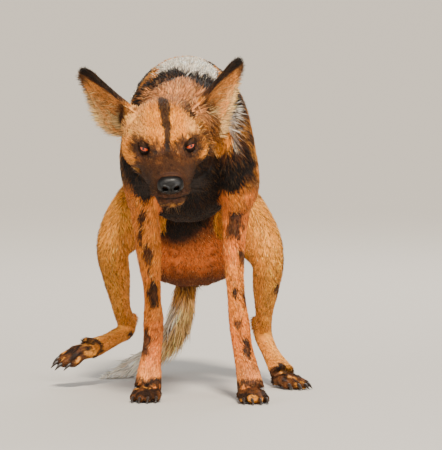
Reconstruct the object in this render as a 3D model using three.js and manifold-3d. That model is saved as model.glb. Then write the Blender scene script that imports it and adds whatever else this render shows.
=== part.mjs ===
// African wild dog, life size, squatting with its right hind foot lifted and its head low.
// Millimetres, +Z up. The dog faces -Y and its left side is +X.
// Bodies are tubes bent along splines, joined, and then parted at thin gaps into named pieces.
import * as THREE from "three";
import { mergeVertices } from "three/addons/utils/BufferGeometryUtils.js";
import Module from "manifold-3d";

const wasm = await Module();
wasm.setup();

// Driving dimensions
const GAP = 0.3; // left between pieces that touch
const FLOOR_REACH = 900; // larger than the dog each way, for blocks that cut
const HEAD_PITCH = 26; // degrees, nose down
const HEAD_YAW = 2; // degrees, nose to the dog's left
const HEAD_ROLL = -3.5; // degrees, crown to the dog's right
const NOSE_TIP = at(-32, -216, 387);
const EYE_RADIUS = 11.5;
const EYE_CENTRE = at(36, 103, 24.5); // in the head's own frame, left eye
const LID_THICKNESS = 2.2;
const EAR_LENGTH = 118;
const EAR_WIDTH = 86;
const EAR_CUP_ROOT = 32; // depth of the ear's hollow at its root
const EAR_CUP_TIP = 9;
const EAR_WALL_ROOT = 4.5; // half the ear's thickness
const EAR_WALL_TIP = 1.5;
const EAR_SUNK = 24; // how far the blade starts under its root's flat
const EAR_SLANT = 9; // how much lower the ear's outer edge starts than its middle
const EAR_CLEAR = 1.2; // left round an ear's blade where the neck's hair would reach it
const TOE_RADIUS = 8.4;
const CLAW_LENGTH = 14; // from the tip of the toe's bone
const TAIL_LOCKS = 5; // round the tail in each row
const RUFF_LOCK = 42; // length of the longer hair behind the cheeks

const COLOURS = {
  tan: 0xc58a4e,
  black: 0x2a211c,
  ochre: 0xb9793f,
  mottle: 0x7a5236,
  cream: 0xd9c7ab,
  leather: 0x14110f,
  iris: 0x9c3f14,
};

function at(x, y, z) {
  return new THREE.Vector3(x, y, z);
}

// One coordinate of a superellipse: power 2 is round, and more is boxier.
function swollen(value, power) {
  return Math.sign(value) * Math.pow(Math.abs(value), 2 / power);
}

// A spline through stations of [x, y, z, half width, above, below, power above, power below]. Its
// left is nearest to `side`, and above is left turned a quarter from the heading. It gives the
// point of its skin at a share along it, for a direction across and over of length 1.
function bend(stations, side = at(1, 0, 0)) {
  const through = (pick) => {
    const curve = new THREE.CatmullRomCurve3(stations.map(pick));
    curve.curveType = "catmullrom";
    return curve;
  };
  const line = through((s) => at(s[0], s[1], s[2]));
  const sizes = through((s) => at(s[3], s[4] ?? s[3], s[5] ?? s[4] ?? s[3]));
  const powers = through((s) => at(s[6] ?? 2, s[7] ?? s[6] ?? 2, 0));
  const axes = (t) => {
    const heading = line.getTangent(t);
    const left = side.clone().addScaledVector(heading, -side.dot(heading)).normalize();
    return { heading, left, up: left.clone().cross(heading).normalize() };
  };
  const skin = (t, across, over) => {
    const { left, up } = axes(t);
    const size = sizes.getPoint(t);
    const power = powers.getPoint(t);
    const squared = over > 0 ? power.x : power.y;
    return line
      .getPoint(t)
      .addScaledVector(left, size.x * swollen(across, squared))
      .addScaledVector(up, (over > 0 ? size.y : size.z) * swollen(over, squared));
  };
  return { line, sizes, axes, skin };
}

// A closed tube over a bend, with an optional function that moves each of its points.
function tube(stations, sides, rings, { side, shape } = {}) {
  const { skin } = bend(stations, side);
  const form = new THREE.CylinderGeometry(1, 1, 1, sides, rings);
  const place = form.getAttribute("position");
  for (let i = 0; i < place.count; i++) {
    const t = THREE.MathUtils.clamp(place.getY(i) + 0.5, 0, 1);
    const point = skin(t, place.getX(i), place.getZ(i));
    if (shape) shape(point);
    place.setXYZ(i, point.x, point.y, point.z);
  }
  return form;
}

// A flat lock of hair through four points, ridged along its outer face and tapered to its tip.
// Its width lies along `side`.
const LOCK_TAPER = [0.75, 1, 0.72, 0.08];
function lock(points, width, thick, side) {
  const stations = points.map((p, i) => [
    ...p.toArray(),
    (width / 2) * LOCK_TAPER[i],
    Math.max(0.4, thick * LOCK_TAPER[i]),
  ]);
  return solid(tube(stations, 3, 3, { side }));
}

// A seeded draw between 0 and 1, the same on each build.
function drawer(seed) {
  let state = seed;
  return () => {
    state = (state * 1664525 + 1013904223) % 4294967296;
    return state / 4294967296;
  };
}

// A closed geometry as a solid for joining and cutting.
function solid(geometry) {
  const bare = geometry.clone();
  bare.deleteAttribute("normal");
  bare.deleteAttribute("uv");
  const merged = mergeVertices(bare, 1e-3);
  const corners = merged.index.array;
  const kept = [];
  for (let i = 0; i < corners.length; i += 3) {
    const [a, b, c] = [corners[i], corners[i + 1], corners[i + 2]];
    if (a !== b && b !== c && a !== c) kept.push(a, b, c);
  }
  const build = (triVerts) =>
    new wasm.Manifold(
      new wasm.Mesh({ numProp: 3, vertProperties: merged.attributes.position.array, triVerts }),
    );
  const made = build(new Uint32Array(kept));
  if (made.volume() > 0) return made;
  for (let i = 0; i < kept.length; i += 3) [kept[i + 1], kept[i + 2]] = [kept[i + 2], kept[i + 1]];
  return build(new Uint32Array(kept));
}

function joined(solids) {
  return solids.reduce((whole, piece) => whole.add(piece));
}

// The largest closed surface of a solid, which drops scraps.
function largest(made) {
  return made.decompose().reduce((a, b) => (b.volume() > a.volume() ? b : a));
}

function moved(made, matrix) {
  return made.transform(matrix.elements);
}

// A block between two corners in the frame of `matrix`, grown all round by `extra`.
function block(low, high, matrix = new THREE.Matrix4(), extra = 0) {
  const [a, b] = [at(...low).subScalar(extra), at(...high).addScalar(extra)];
  const size = b.clone().sub(a);
  const form = new THREE.BoxGeometry(size.x, size.y, size.z);
  form.translate(...b.add(a).multiplyScalar(0.5).toArray());
  return moved(solid(form), matrix);
}

// Parts `whole` at a block: [what lies inside it, what is left a gap away].
function parted(whole, low, high, matrix) {
  return [
    largest(whole.intersect(block(low, high, matrix))),
    largest(whole.subtract(block(low, high, matrix, GAP))),
  ];
}

// A frame at a point, turned by pitch about X, roll about Y and yaw about Z, in degrees.
function frameAt(point, pitch, roll = 0, yaw = 0) {
  const turn = new THREE.Euler(
    ...[pitch, roll, yaw].map((a) => THREE.MathUtils.degToRad(a)),
    "ZYX",
  );
  return new THREE.Matrix4().makeRotationFromEuler(turn).setPosition(point);
}

const HEAD = frameAt(NOSE_TIP, HEAD_PITCH, HEAD_ROLL, HEAD_YAW);

// Pushes a point away from a centre, most at the centre and fading over `reach`.
function bump(point, centre, push, reach) {
  const near = Math.exp(-point.distanceToSquared(centre) / (reach * reach));
  point.addScaledVector(push, near);
}

// The swellings and hollows of the face on both sides: [centre, push, reach], left side.
const FACE_FORMS = [
  [at(34, 100, 44), at(2, -3, 5), 17], // brow
  [at(46, 90, 18), at(-3, 4, 0), 12], // eye socket
  [at(70, 138, 2), at(5, -2, 1), 26], // cheekbone
  [at(56, 160, -32), at(7, 0, -3), 26], // jaw muscle
  [at(38, 66, 6), at(-3, 0, 0), 20], // side of the muzzle
  [at(30, 34, -14), at(3, -1, 0), 16], // whisker pad
  [at(0, 128, 68), at(0, 1, -4), 14], // furrow of the forehead
  [at(0, 82, 36), at(0, 3, -5), 17], // stop
];

function faceForms(point) {
  for (const [centre, push, reach] of FACE_FORMS)
    for (const flip of centre.x ? [1, -1] : [1]) {
      const here = centre.clone();
      const way = push.clone();
      here.x *= flip;
      way.x *= flip;
      bump(point, here, way, reach);
    }
}

// Skull and muzzle in the head's own frame: nose tip at the origin, back of the head at +Y.
const SKULL = [
  [0, 0, -3, 14, 13, 18, 2.5, 2.4],
  [0, 3, -2, 19.5, 17, 26, 2.6, 2.4],
  [0, 14, 0, 25.5, 20.5, 33, 2.6, 2.7],
  [0, 30, 0, 32.5, 22.5, 37.5, 2.5, 2.8],
  [0, 50, 0, 35.5, 24, 40, 2.4, 2.8],
  [0, 72, 0, 39, 27, 41, 2.3, 2.7],
  [0, 90, 2, 46, 36, 42, 2.2, 2.5],
  [0, 108, 5, 57, 48, 42, 2.1, 2.4],
  [0, 128, 7, 67, 57, 46, 2, 2.2],
  [0, 150, 8, 71, 62, 50, 2, 2.1],
  [0, 172, 8, 71, 63, 52, 2, 2.1],
  [0, 194, 8, 65, 59, 52, 2, 2],
  [0, 218, 8, 55, 49, 48, 2, 2],
  [0, 240, 8, 40, 36, 40, 2, 2],
];

const JAW = [
  [0, 5, -31, 9, 7, 9],
  [0, 13, -33, 20, 10, 13.5],
  [0, 34, -35, 28, 14, 16],
  [0, 62, -38, 32, 14, 17],
  [0, 92, -41, 37, 20, 19],
  [0, 122, -42, 44, 30, 21],
  [0, 152, -40, 50, 34, 26],
  [0, 182, -36, 48, 34, 30],
];

// Where the ruff grows behind each cheek: [how far back, degrees from the crown], left side.
const RUFF_ROOTS = [148, 176].flatMap((back, row) =>
  [102, 122, 142, 162].map((turn) => [back, turn - 8 * row]),
);

// Locks of the ruff, which leave the cheek backwards and stand out from it below.
function ruff() {
  const { skin, axes, line } = bend(SKULL);
  const draw = drawer(7);
  return RUFF_ROOTS.flatMap(([back, turn]) =>
    [1, -1].map((flip) => {
      const t = SKULL.findIndex((s) => s[1] > back) / (SKULL.length - 1) - 0.04;
      const angle = THREE.MathUtils.degToRad(turn + 8 * (draw() - 0.5));
      const root = skin(t, flip * Math.sin(angle), Math.cos(angle));
      faceForms(root);
      const out = root.clone().sub(line.getPoint(t)).normalize();
      const length = RUFF_LOCK * (0.85 + 0.3 * draw());
      const points = [-0.16, 0.2, 0.6, 1].map((share) =>
        root
          .clone()
          .addScaledVector(axes(t).heading, length * 0.86 * share)
          .addScaledVector(out, length * (0.36 * share - 0.04) - 3 * (1 - share)),
      );
      const side = out.clone().cross(axes(t).heading).normalize();
      return lock(points, 20, 3.8, side);
    }),
  );
}

// The mouth's line seen from the side, as [distance behind the nose tip, height].
const MOUTH_LINE = [
  [-8, -27],
  [14, -27],
  [30, -31],
  [50, -33.5],
  [70, -33],
  [84, -30],
  [95, -24],
];
const MOUTH_OPEN = 1.6; // gap between the lips at the front
const MOUTH_CORNER = MOUTH_LINE[MOUTH_LINE.length - 1];
const JAW_REAR = 126; // how far back the jaw's own piece reaches at its lower edge

// The region of the lower jaw: under the mouth's line, and in front of a slope behind its corner.
// Taken from the head with `clear`, it leaves the slit between the lips.
function jawRegion(clear) {
  const slit = (back) => THREE.MathUtils.lerp(MOUTH_OPEN, GAP, Math.max(0, back) / MOUTH_CORNER[0]);
  const line = MOUTH_LINE.map(([back, high]) => new THREE.Vector2(back, high + (clear ? slit(back) : 0)));
  const rear = clear ? GAP * 1.1 : 0;
  const outline = new THREE.Shape();
  outline.moveTo(line[0].x - 20, line[0].y);
  outline.lineTo(line[0].x, line[0].y);
  outline.splineThru(line.slice(1));
  outline.lineTo(MOUTH_CORNER[0] + 3 + rear, MOUTH_CORNER[1] - 6);
  outline.lineTo(JAW_REAR + rear, -110);
  outline.lineTo(line[0].x - 20, -110);
  outline.closePath();
  const form = new THREE.ExtrudeGeometry(outline, { depth: 200, bevelEnabled: false, curveSegments: 3 });
  form.translate(0, 0, -100);
  // The outline's x is the head's y, its y is the head's z, and its depth is the head's x.
  form.applyMatrix4(new THREE.Matrix4().makeBasis(at(0, 1, 0), at(0, 0, 1), at(1, 0, 0)));
  return solid(form);
}

// A nostril: a round opening at the front that runs out to a slit at the side.
function nostril(flip) {
  const opening = tube(
    [
      [flip * 6, -6, 2, 3.8, 4.4],
      [flip * 9, 3, 2, 4.4, 4.6],
      [flip * 14, 9, -1, 2.6, 3],
    ],
    6,
    3,
  );
  const slit = tube(
    [
      [flip * 8, -2, -1, 1.6, 2.6],
      [flip * 16, 3, -4, 1.5, 2],
      [flip * 24, 9, -5, 1, 1.4],
    ],
    5,
    3,
    { side: at(0, 1, 0) },
  );
  return joined([solid(opening), solid(slit)]);
}

function eyeFrame(flip) {
  const centre = EYE_CENTRE.clone();
  centre.x *= flip;
  const turn = new THREE.Euler(
    THREE.MathUtils.degToRad(-8),
    THREE.MathUtils.degToRad(flip * 6),
    THREE.MathUtils.degToRad(flip * 27),
    "ZYX",
  );
  return new THREE.Matrix4().makeRotationFromEuler(turn).setPosition(centre);
}

function ball(radius) {
  return solid(new THREE.SphereGeometry(radius, 12, 9));
}

// The almond between the lids, as a bar that points out of the eye, its inner corner lower.
function lidOpening(flip) {
  const almond = new THREE.Shape();
  almond.moveTo(-flip * 11.5, -3);
  almond.quadraticCurveTo(-flip * 2, 8.5, flip * 11, 1.5);
  almond.quadraticCurveTo(flip * 1, -8, -flip * 11.5, -3);
  const form = new THREE.ExtrudeGeometry(almond, { depth: 30, bevelEnabled: false, curveSegments: 6 });
  form.applyMatrix4(new THREE.Matrix4().makeRotationX(Math.PI / 2));
  return solid(form);
}

// A point of an ear's cupped blade. Its own frame has the root at the origin and the tip along +Z,
// its width along X, and its hollow towards -Y. `t` runs from root to tip, `across` from edge to
// edge, and `wall` is how far the point lies off the blade's middle, towards its back.
function earPoint(flip, t, across, wall, extra = 0) {
  const aside = ((EAR_WIDTH / 2) * earProfile(t) + extra) * across;
  const curve = THREE.MathUtils.lerp(EAR_CUP_ROOT, EAR_CUP_TIP, t) / Math.pow(EAR_WIDTH / 2, 2);
  const outward = new THREE.Vector2(2 * curve * aside, 1).normalize();
  return at(
    aside + outward.x * wall,
    0.45 * EAR_CUP_ROOT * (1 - t) - curve * aside * aside + outward.y * wall,
    t * (EAR_LENGTH + EAR_SUNK) - EAR_SUNK - flip * EAR_SLANT * across * (1 - t),
  );
}

// One ear's blade, swollen by `extra`.
function earBlade(flip, extra = 0) {
  const form = new THREE.SphereGeometry(1, 14, 9);
  const place = form.getAttribute("position");
  for (let i = 0; i < place.count; i++) {
    const t = (1 + place.getY(i)) / 2;
    const round = Math.max(1e-6, Math.hypot(place.getX(i), place.getZ(i)));
    const [across, face] = round < 1e-5 ? [0, 0] : [place.getX(i) / round, place.getZ(i) / round];
    const wall = (THREE.MathUtils.lerp(EAR_WALL_ROOT, EAR_WALL_TIP, t) + extra) * face;
    const point = earPoint(flip, t, across, wall, extra);
    place.setXYZ(i, point.x, point.y, point.z);
  }
  return form;
}

// Half width of the ear from root to tip, as a share of its greatest.
function earProfile(t) {
  const root = 0.7 + 0.3 * Math.sin(Math.min(1, t / 0.45) * (Math.PI / 2));
  const tip = t > 0.45 ? Math.sqrt(Math.max(0, 1 - Math.pow((t - 0.45) / 0.55, 2.4))) : 1;
  return root * tip;
}

const EAR_ROOT = at(64, 186, 38); // in the head's frame, left ear
const EAR_TIP = at(141, 254, 96);

// The left ear's frame in the head's frame: Z to the tip, and the hollow turned to front and out.
function earFrame(flip) {
  const root = EAR_ROOT.clone();
  const tip = EAR_TIP.clone();
  root.x *= flip;
  tip.x *= flip;
  const rise = tip.sub(root).normalize();
  const hollow = at(flip * 0.4, -0.86, -0.32);
  hollow.addScaledVector(rise, -hollow.dot(rise)).normalize();
  const back = hollow.negate();
  const across = back.clone().cross(rise).normalize();
  return new THREE.Matrix4().makeBasis(across, back, rise).setPosition(root);
}

// Trunk from the breast to between the thighs, where the squatting rump hangs lowest.
const TRUNK = [
  [-5, -34, 424, 44, 56, 50],
  [-6, 15, 438, 82, 112, 106, 2, 2],
  [-8, 85, 446, 101, 140, 140, 1.95, 2.1],
  [-8, 160, 450, 112, 146, 148, 1.95, 2.1],
  [-6, 228, 447, 113, 140, 138, 2, 2.1],
  [-2, 285, 418, 102, 124, 104, 2.1, 2.1],
  [0, 330, 366, 91, 104, 86, 2.1, 2.1],
  [1, 358, 306, 94, 88, 78, 2.1, 2.2],
  [3, 374, 250, 99, 66, 66, 2.4, 2.4],
  [4, 380, 212, 90, 46, 58, 2.4, 2.4],
  [5, 380, 186, 68, 34, 44, 2.2, 2.2],
  [6, 379, 169, 30, 16, 20],
];

const NECK = [
  [-31, -98, 452, 28, 30, 44],
  [-29, -76, 462, 46, 44, 70],
  [-23, -40, 472, 62, 66, 90],
  [-13, 5, 474, 80, 90, 98],
  [-6, 62, 464, 84, 98, 106],
];

// Fore legs from the shoulder blade to the wrist and the root of the toes.
const FORE_LEFT = [
  [44, 112, 546, 28, 46, 42],
  [58, 84, 500, 40, 66, 60],
  [78, 30, 432, 38, 58, 60],
  [84, 44, 374, 38, 54, 50],
  [80, 56, 326, 26, 40, 36],
  [77, 44, 256, 19, 27, 24],
  [80, 22, 190, 15.5, 19, 18],
  [86, 4, 134, 18.5, 18, 18.5],
  [92, -10, 92, 18, 15, 15],
  [101, -26, 50, 21, 18, 17, 2.4],
  [106, -36, 24, 24, 24, 20, 2.6],
];
const FORE_RIGHT = [
  [-52, 112, 546, 28, 46, 42],
  [-66, 84, 500, 40, 66, 60],
  [-86, 34, 432, 38, 58, 60],
  [-86, 52, 372, 32, 54, 50],
  [-80, 64, 326, 26, 40, 36],
  [-73, 54, 256, 22, 27, 24],
  [-67, 38, 190, 15.5, 19, 18],
  [-64, 24, 134, 18.5, 18, 18.5],
  [-66, 14, 92, 18, 15, 15],
  [-71, 0, 50, 21, 18, 17, 2.4],
  [-74, -10, 24, 24, 24, 20, 2.6],
];

// Hind legs from the hip to the hock and the root of the toes.
const HIND_LEFT = [
  [46, 352, 330, 42, 62, 60],
  [86, 306, 306, 46, 70, 62],
  [120, 262, 268, 40, 58, 46],
  [137, 236, 226, 30, 40, 30],
  [135, 262, 176, 24, 33, 23],
  [132, 298, 128, 16.5, 20, 18],
  [130, 328, 88, 17, 19, 17],
  [141, 298, 60, 15.5, 14, 15],
  [156, 254, 36, 19, 15, 15, 2.4],
  [165, 228, 22, 22, 17, 20, 2.6],
];
const HIND_RIGHT = [
  [-46, 352, 334, 42, 62, 60],
  [-88, 306, 318, 46, 70, 62],
  [-122, 262, 284, 40, 58, 46],
  [-139, 238, 244, 30, 40, 30],
  [-133, 264, 190, 24, 33, 23],
  [-126, 300, 138, 17, 20, 18],
  [-117, 330, 98, 17, 19, 17],
  [-138, 300, 82, 15.5, 14, 15],
  [-166, 256, 72, 19, 15, 15, 2.4],
  [-182, 240, 68, 22, 17, 20, 2.6],
];

// The point of each heel and elbow, as a short tube from inside the leg to its tip.
const POINTS_OF_BONE = [
  [[126, 322, 84, 12], [119, 344, 104, 11], [115, 352, 116, 6]],
  [[-117, 324, 94, 12], [-108, 346, 110, 11], [-103, 354, 121, 6]],
  [[80, 62, 336, 22], [80, 92, 338, 15], [80, 102, 340, 8]],
  [[-82, 70, 336, 22], [-82, 100, 338, 15], [-82, 110, 340, 8]],
];

// Four toes from the root of a foot: its frame has -Y to the tips and +Z to the back of the foot.
const TOES = [
  { side: -18.5, reach: 34, lift: -1 },
  { side: -6.5, reach: 45, lift: 3 },
  { side: 6.5, reach: 45, lift: 3 },
  { side: 18.5, reach: 34, lift: -1 },
];

function toe({ side, reach, lift }, foot) {
  const r = TOE_RADIUS;
  const digit = tube(
    [
      [side * 0.85, 14, 12 + lift, r, r],
      [side * 0.95, -10, 15 + lift, r, r * 1.05],
      [side * 1.05, -reach * 0.6, 12 + lift, r * 0.95, r],
      [side * 1.08, -reach, 7, r, r],
      [side * 1.08, -reach - 8, 4.5, r * 0.6, r * 0.6],
    ],
    6,
    4,
  );
  return moved(solid(digit), foot);
}

function claw({ side, reach }, foot) {
  const spread = side * 1.08;
  const nail = tube(
    [
      [spread, -reach - 1, 6, 3, 3.4],
      [spread * 1.02, -reach - 14, 6.4, 2.3, 2.7],
      [spread * 1.03, -reach - 8 - CLAW_LENGTH, 1.2, 0.7, 0.7],
    ],
    4,
    2,
  );
  return moved(solid(nail), foot);
}

// The pads under a foot, one broad one behind four small ones.
function pads(foot) {
  const heelPad = tube(
    [
      [0, 21, 8, 11, 8],
      [0, 6, 7, 18, 9],
      [0, -9, 6, 11, 7],
    ],
    8,
    2,
  );
  return moved(solid(heelPad), foot);
}

function paw(foot) {
  return joined([...TOES.map((t) => toe(t, foot)), ...TOES.map((t) => claw(t, foot)), pads(foot)]);
}

const FEET = {
  fore_left: frameAt(at(106, -42, 0.5), 0, 0, 10),
  fore_right: frameAt(at(-75, -16, 0.5), 0, 0, -6),
  hind_left: frameAt(at(170, 214, 0.5), 0, 0, 32),
  hind_right: frameAt(at(-190, 232, 51), 16, 12, -58),
};

// Bone and flesh of the tail from inside the rump to its tip, and the half width of its hair.
const TAIL_LINE = [
  [0, 368, 262],
  [-1, 418, 240],
  [-4, 447, 213],
  [-9, 466, 170],
  [-18, 472, 118],
  [-34, 460, 78],
  [-62, 444, 48],
  [-92, 424, 29],
  [-122, 402, 13],
  [-150, 382, 5],
];
const TAIL_CORE = [28, 24, 20, 16, 16, 15, 12, 10, 8, 4];
const TAIL_HAIR = [28, 25, 24, 29, 34, 33, 26, 20, 15, 8]; // out to the locks' tips

function tailStations(sizes) {
  return TAIL_LINE.map((spot, i) => [...spot, sizes[i]]);
}

const TAIL_LOCK_REACH = 1.8; // stations from a lock's root to its tip

// The overlapping locks of one row of the brush, which follow the tail's bend, swollen by `extra`.
// `row` is a station of the tail's line, and may lie between two of its points.
function tailRow(row, extra = 0) {
  const hair = bend(tailStations(TAIL_HAIR));
  const last = TAIL_HAIR.length - 1;
  const draw = drawer(Math.round(row * 100));
  return Array.from({ length: TAIL_LOCKS }, (_, i) => {
    const turn = ((i + (row * 10) / 14 + 0.3 * (draw() - 0.5)) / TAIL_LOCKS) * 2 * Math.PI;
    const reach = TAIL_LOCK_REACH * (0.85 + 0.3 * draw());
    const full = 0.86 + 0.14 * draw();
    const points = [0, 0.3, 0.65, 1].map((share, n) => {
      const t = Math.min(0.995, (row + reach * share) / last);
      const lifted = [0.28, 0.7, 0.95, 1][n] * full;
      const middle = hair.line.getPoint(t);
      return middle.lerp(hair.skin(t, Math.sin(turn), Math.cos(turn)), lifted);
    });
    const { left, up } = hair.axes((row + reach / 2) / last);
    const side = left.clone().multiplyScalar(Math.cos(turn)).addScaledVector(up, -Math.sin(turn));
    const width = 1.15 * hair.sizes.getPoint(Math.min(1, (row + 0.4) / last)).x;
    return lock(points, Math.max(11, width) + 2 * extra, Math.max(2.6, width * 0.2) + extra, side);
  });
}

// Everything of flesh but the head, before it is parted.
function flesh() {
  const legs = [FORE_LEFT, FORE_RIGHT, HIND_LEFT, HIND_RIGHT].map((s) => solid(tube(s, 12, 15)));
  const bones = POINTS_OF_BONE.map((s) => solid(tube(s, 8, 3)));
  const feet = Object.values(FEET).map(paw);
  const tailCore = solid(tube(tailStations(TAIL_CORE), 10, 18));
  return joined([solid(tube(TRUNK, 26, 20)), solid(tube(NECK, 20, 7)), ...legs, ...bones, ...feet, tailCore]);
}

// What carries an ear: the foot of its blade on a mound of the head, up to the flat they share.
function earStub(flip) {
  const mound = tube(
    [
      [0, 2, -48, 34, 24],
      [0, 2, -26, 33, 23],
      [0, 2, -11, 25, 16],
      [0, 2, -5, 12, 8],
    ],
    10,
    3,
  );
  const foot = solid(earBlade(flip)).intersect(block([-80, -80, -60], [80, 80, -GAP]));
  return moved(joined([solid(mound), largest(foot)]), earFrame(flip));
}

// The head in its own frame, with its sockets, nostrils and the ears' places cut.
function headWhole() {
  const lids = [1, -1].map((flip) => moved(ball(EYE_RADIUS + LID_THICKNESS), eyeFrame(flip)));
  const stubs = [1, -1].map(earStub);
  let made = joined([solid(tube(SKULL, 20, 20, { shape: faceForms })), solid(tube(JAW, 14, 9))]);
  made = joined([made, ...lids, ...stubs, ...ruff()]);
  for (const flip of [1, -1]) {
    const eye = eyeFrame(flip);
    made = made.subtract(moved(ball(EYE_RADIUS + GAP), eye));
    made = made.subtract(moved(lidOpening(flip), eye));
    made = made.subtract(nostril(flip));
  }
  return made;
}

// An ear's blade above its flat, in its own frame.
function ear(flip, extra = 0) {
  const above = block([-80, -80, extra ? -GAP : 0], [80, 80, 200]);
  return largest(solid(earBlade(flip, extra)).intersect(above));
}

const nodes = new THREE.Group();

function add(name, made, colour, roughness = 0.8) {
  const mesh = made.getMesh();
  const form = new THREE.BufferGeometry();
  const places = new Float32Array(mesh.numVert * 3);
  for (let i = 0; i < mesh.numVert; i++)
    places.set(mesh.vertProperties.subarray(i * mesh.numProp, i * mesh.numProp + 3), i * 3);
  form.setAttribute("position", new THREE.BufferAttribute(places, 3));
  form.setIndex(new THREE.BufferAttribute(mesh.triVerts, 1));
  form.computeVertexNormals();
  const skin = new THREE.MeshStandardMaterial({ color: colour, roughness, metalness: 0 });
  const node = new THREE.Mesh(form, skin);
  node.name = name;
  nodes.add(node);
}

const floorBlock = block([-FLOOR_REACH, -FLOOR_REACH, -FLOOR_REACH], [FLOOR_REACH, FLOOR_REACH, 0]);

// Where the pieces part: each takes what lies in its block from what is left of the dog.
const HEAD_CUT = frameAt(at(-30, -55, 462), -12.5);
const NECK_CUT = frameAt(at(-10, 20, 470), -31.4);
const RUMP_CUT = frameAt(at(0, 285, 418), -38.5);
const SHANK_LEFT_CUT = frameAt(at(0, 236, 226), 33.7);
const SHANK_RIGHT_CUT = frameAt(at(0, 238, 244), 32.2);
const PARTS = [
  ["neck", [-160, -220, -105], [160, 0, 220], COLOURS.tan, NECK_CUT],
  ["fore_paw_left", [50, -140, -10], [210, 60, 42], COLOURS.black],
  ["fore_leg_left", [50, -140, 40], [210, 125, 372], COLOURS.tan],
  ["fore_paw_right", [-210, -140, -10], [-40, 60, 42], COLOURS.black],
  ["fore_leg_right", [-210, -140, 40], [-50, 125, 372], COLOURS.tan],
  ["hind_paw_left", [42, 130, -10], [260, 262, 33], COLOURS.black],
  ["hind_pastern_left", [42, 130, -10], [260, 480, 100], COLOURS.ochre],
  ["hind_shank_left", [42, -70, -200], [260, 40, -22], COLOURS.ochre, SHANK_LEFT_CUT],
  ["hind_thigh_left", [42, 130, 100], [260, 480, 345], COLOURS.ochre],
  ["hind_paw_right", [-300, 130, -10], [-172, 300, 110], COLOURS.black],
  ["hind_pastern_right", [-300, 130, -10], [-42, 430, 112], COLOURS.ochre],
  ["hind_shank_right", [-300, -70, -210], [-42, 40, -22], COLOURS.ochre, SHANK_RIGHT_CUT],
  ["hind_thigh_right", [-300, 130, 112], [-42, 480, 352], COLOURS.ochre],
  ["rump", [-200, 0, -280], [200, 320, 220], COLOURS.mottle, RUMP_CUT],
  ["loin", [-200, 150, 200], [200, 480, 700], COLOURS.mottle],
];

// The tail's pieces from its root to its tip: its core's block, how far its locks may reach, and their rows.
const TAIL_PARTS = [
  {
    name: "tail_base",
    core: [[-70, 437, 118], [70, 640, 222]],
    room: [[-200, 380, -10], [200, 640, 222]],
    rows: [2.4, 3.3],
    colour: COLOURS.mottle,
  },
  {
    name: "tail_brush",
    core: [[-72, 372, -10], [140, 640, 118]],
    room: [[-320, 372, -10], [140, 640, 118]],
    rows: [4.1, 4.8, 5.5],
    colour: COLOURS.tan,
  },
  {
    name: "tail_tip",
    core: [[-320, 372, -10], [-72, 640, 130]],
    room: [[-320, 372, -10], [-72, 640, 130]],
    rows: [6.35, 7.1],
    colour: COLOURS.cream,
  },
];
const NOSE_BLOCK = [[-40, -20, -17], [40, 10.5, 40]];

function main() {
  let whole = joined([flesh(), moved(headWhole(), HEAD)]).subtract(floorBlock);
  for (const flip of [1, -1])
    whole = whole.subtract(moved(ear(flip, EAR_CLEAR), HEAD.clone().multiply(earFrame(flip))));
  let [head, rest] = parted(whole, [-150, -260, -170], [150, 0, 220], HEAD_CUT);
  const level = HEAD.clone().invert();
  head = moved(head, level);
  const jaw = largest(head.intersect(jawRegion(false)));
  head = largest(head.subtract(jawRegion(true)));
  let nose;
  [nose, head] = parted(head, ...NOSE_BLOCK);
  add("head", moved(head, HEAD), COLOURS.tan);
  add("lower_jaw", moved(jaw, HEAD), COLOURS.black);
  add("nose", moved(nose, HEAD), COLOURS.leather, 0.45);
  for (const [side, flip] of Object.entries({ left: 1, right: -1 })) {
    add(`eye_${side}`, moved(ball(EYE_RADIUS), HEAD.clone().multiply(eyeFrame(flip))), COLOURS.iris, 0.1);
    add(`ear_${side}`, moved(ear(flip), HEAD.clone().multiply(earFrame(flip))), COLOURS.tan);
  }
  const cores = [];
  for (const { core } of [...TAIL_PARTS].reverse()) {
    let piece;
    [piece, rest] = parted(rest, ...core);
    cores.unshift(piece);
  }
  let worn = floorBlock;
  TAIL_PARTS.forEach(({ name, room, rows, colour }, i) => {
    const hair = joined(rows.flatMap((row) => tailRow(row))).intersect(block(...room));
    add(name, largest(cores[i].add(hair).subtract(worn)), colour);
    worn = worn.add(joined(rows.flatMap((row) => tailRow(row, GAP))));
  });
  rest = rest.subtract(worn);
  for (const [name, low, high, colour, frame] of PARTS) {
    let piece;
    [piece, rest] = parted(rest, low, high, frame);
    add(name, piece, colour);
  }
  add("chest", rest, COLOURS.mottle);
}

// Stands the dog on the floor with the origin under the middle of its box.
function centred(group) {
  const middle = new THREE.Box3().setFromObject(group).getCenter(at(0, 0, 0));
  group.position.set(-middle.x, -middle.y, 0);
  return group;
}

main();
export default centred(nodes);
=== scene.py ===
"""Looks of the african wild dog: skin, coat, eyes, nose, claws, floor, light and camera.

Sizes are written in millimetres in the frame of the solids before they were centred, with the
dog facing -Y, its left side at +X and the floor at 0. `Place` turns them to metres.
"""
import logging
import math
from dataclasses import dataclass, field
from enum import Enum

import bpy
import numpy as np
from mathutils import Euler, Matrix, Vector


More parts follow.
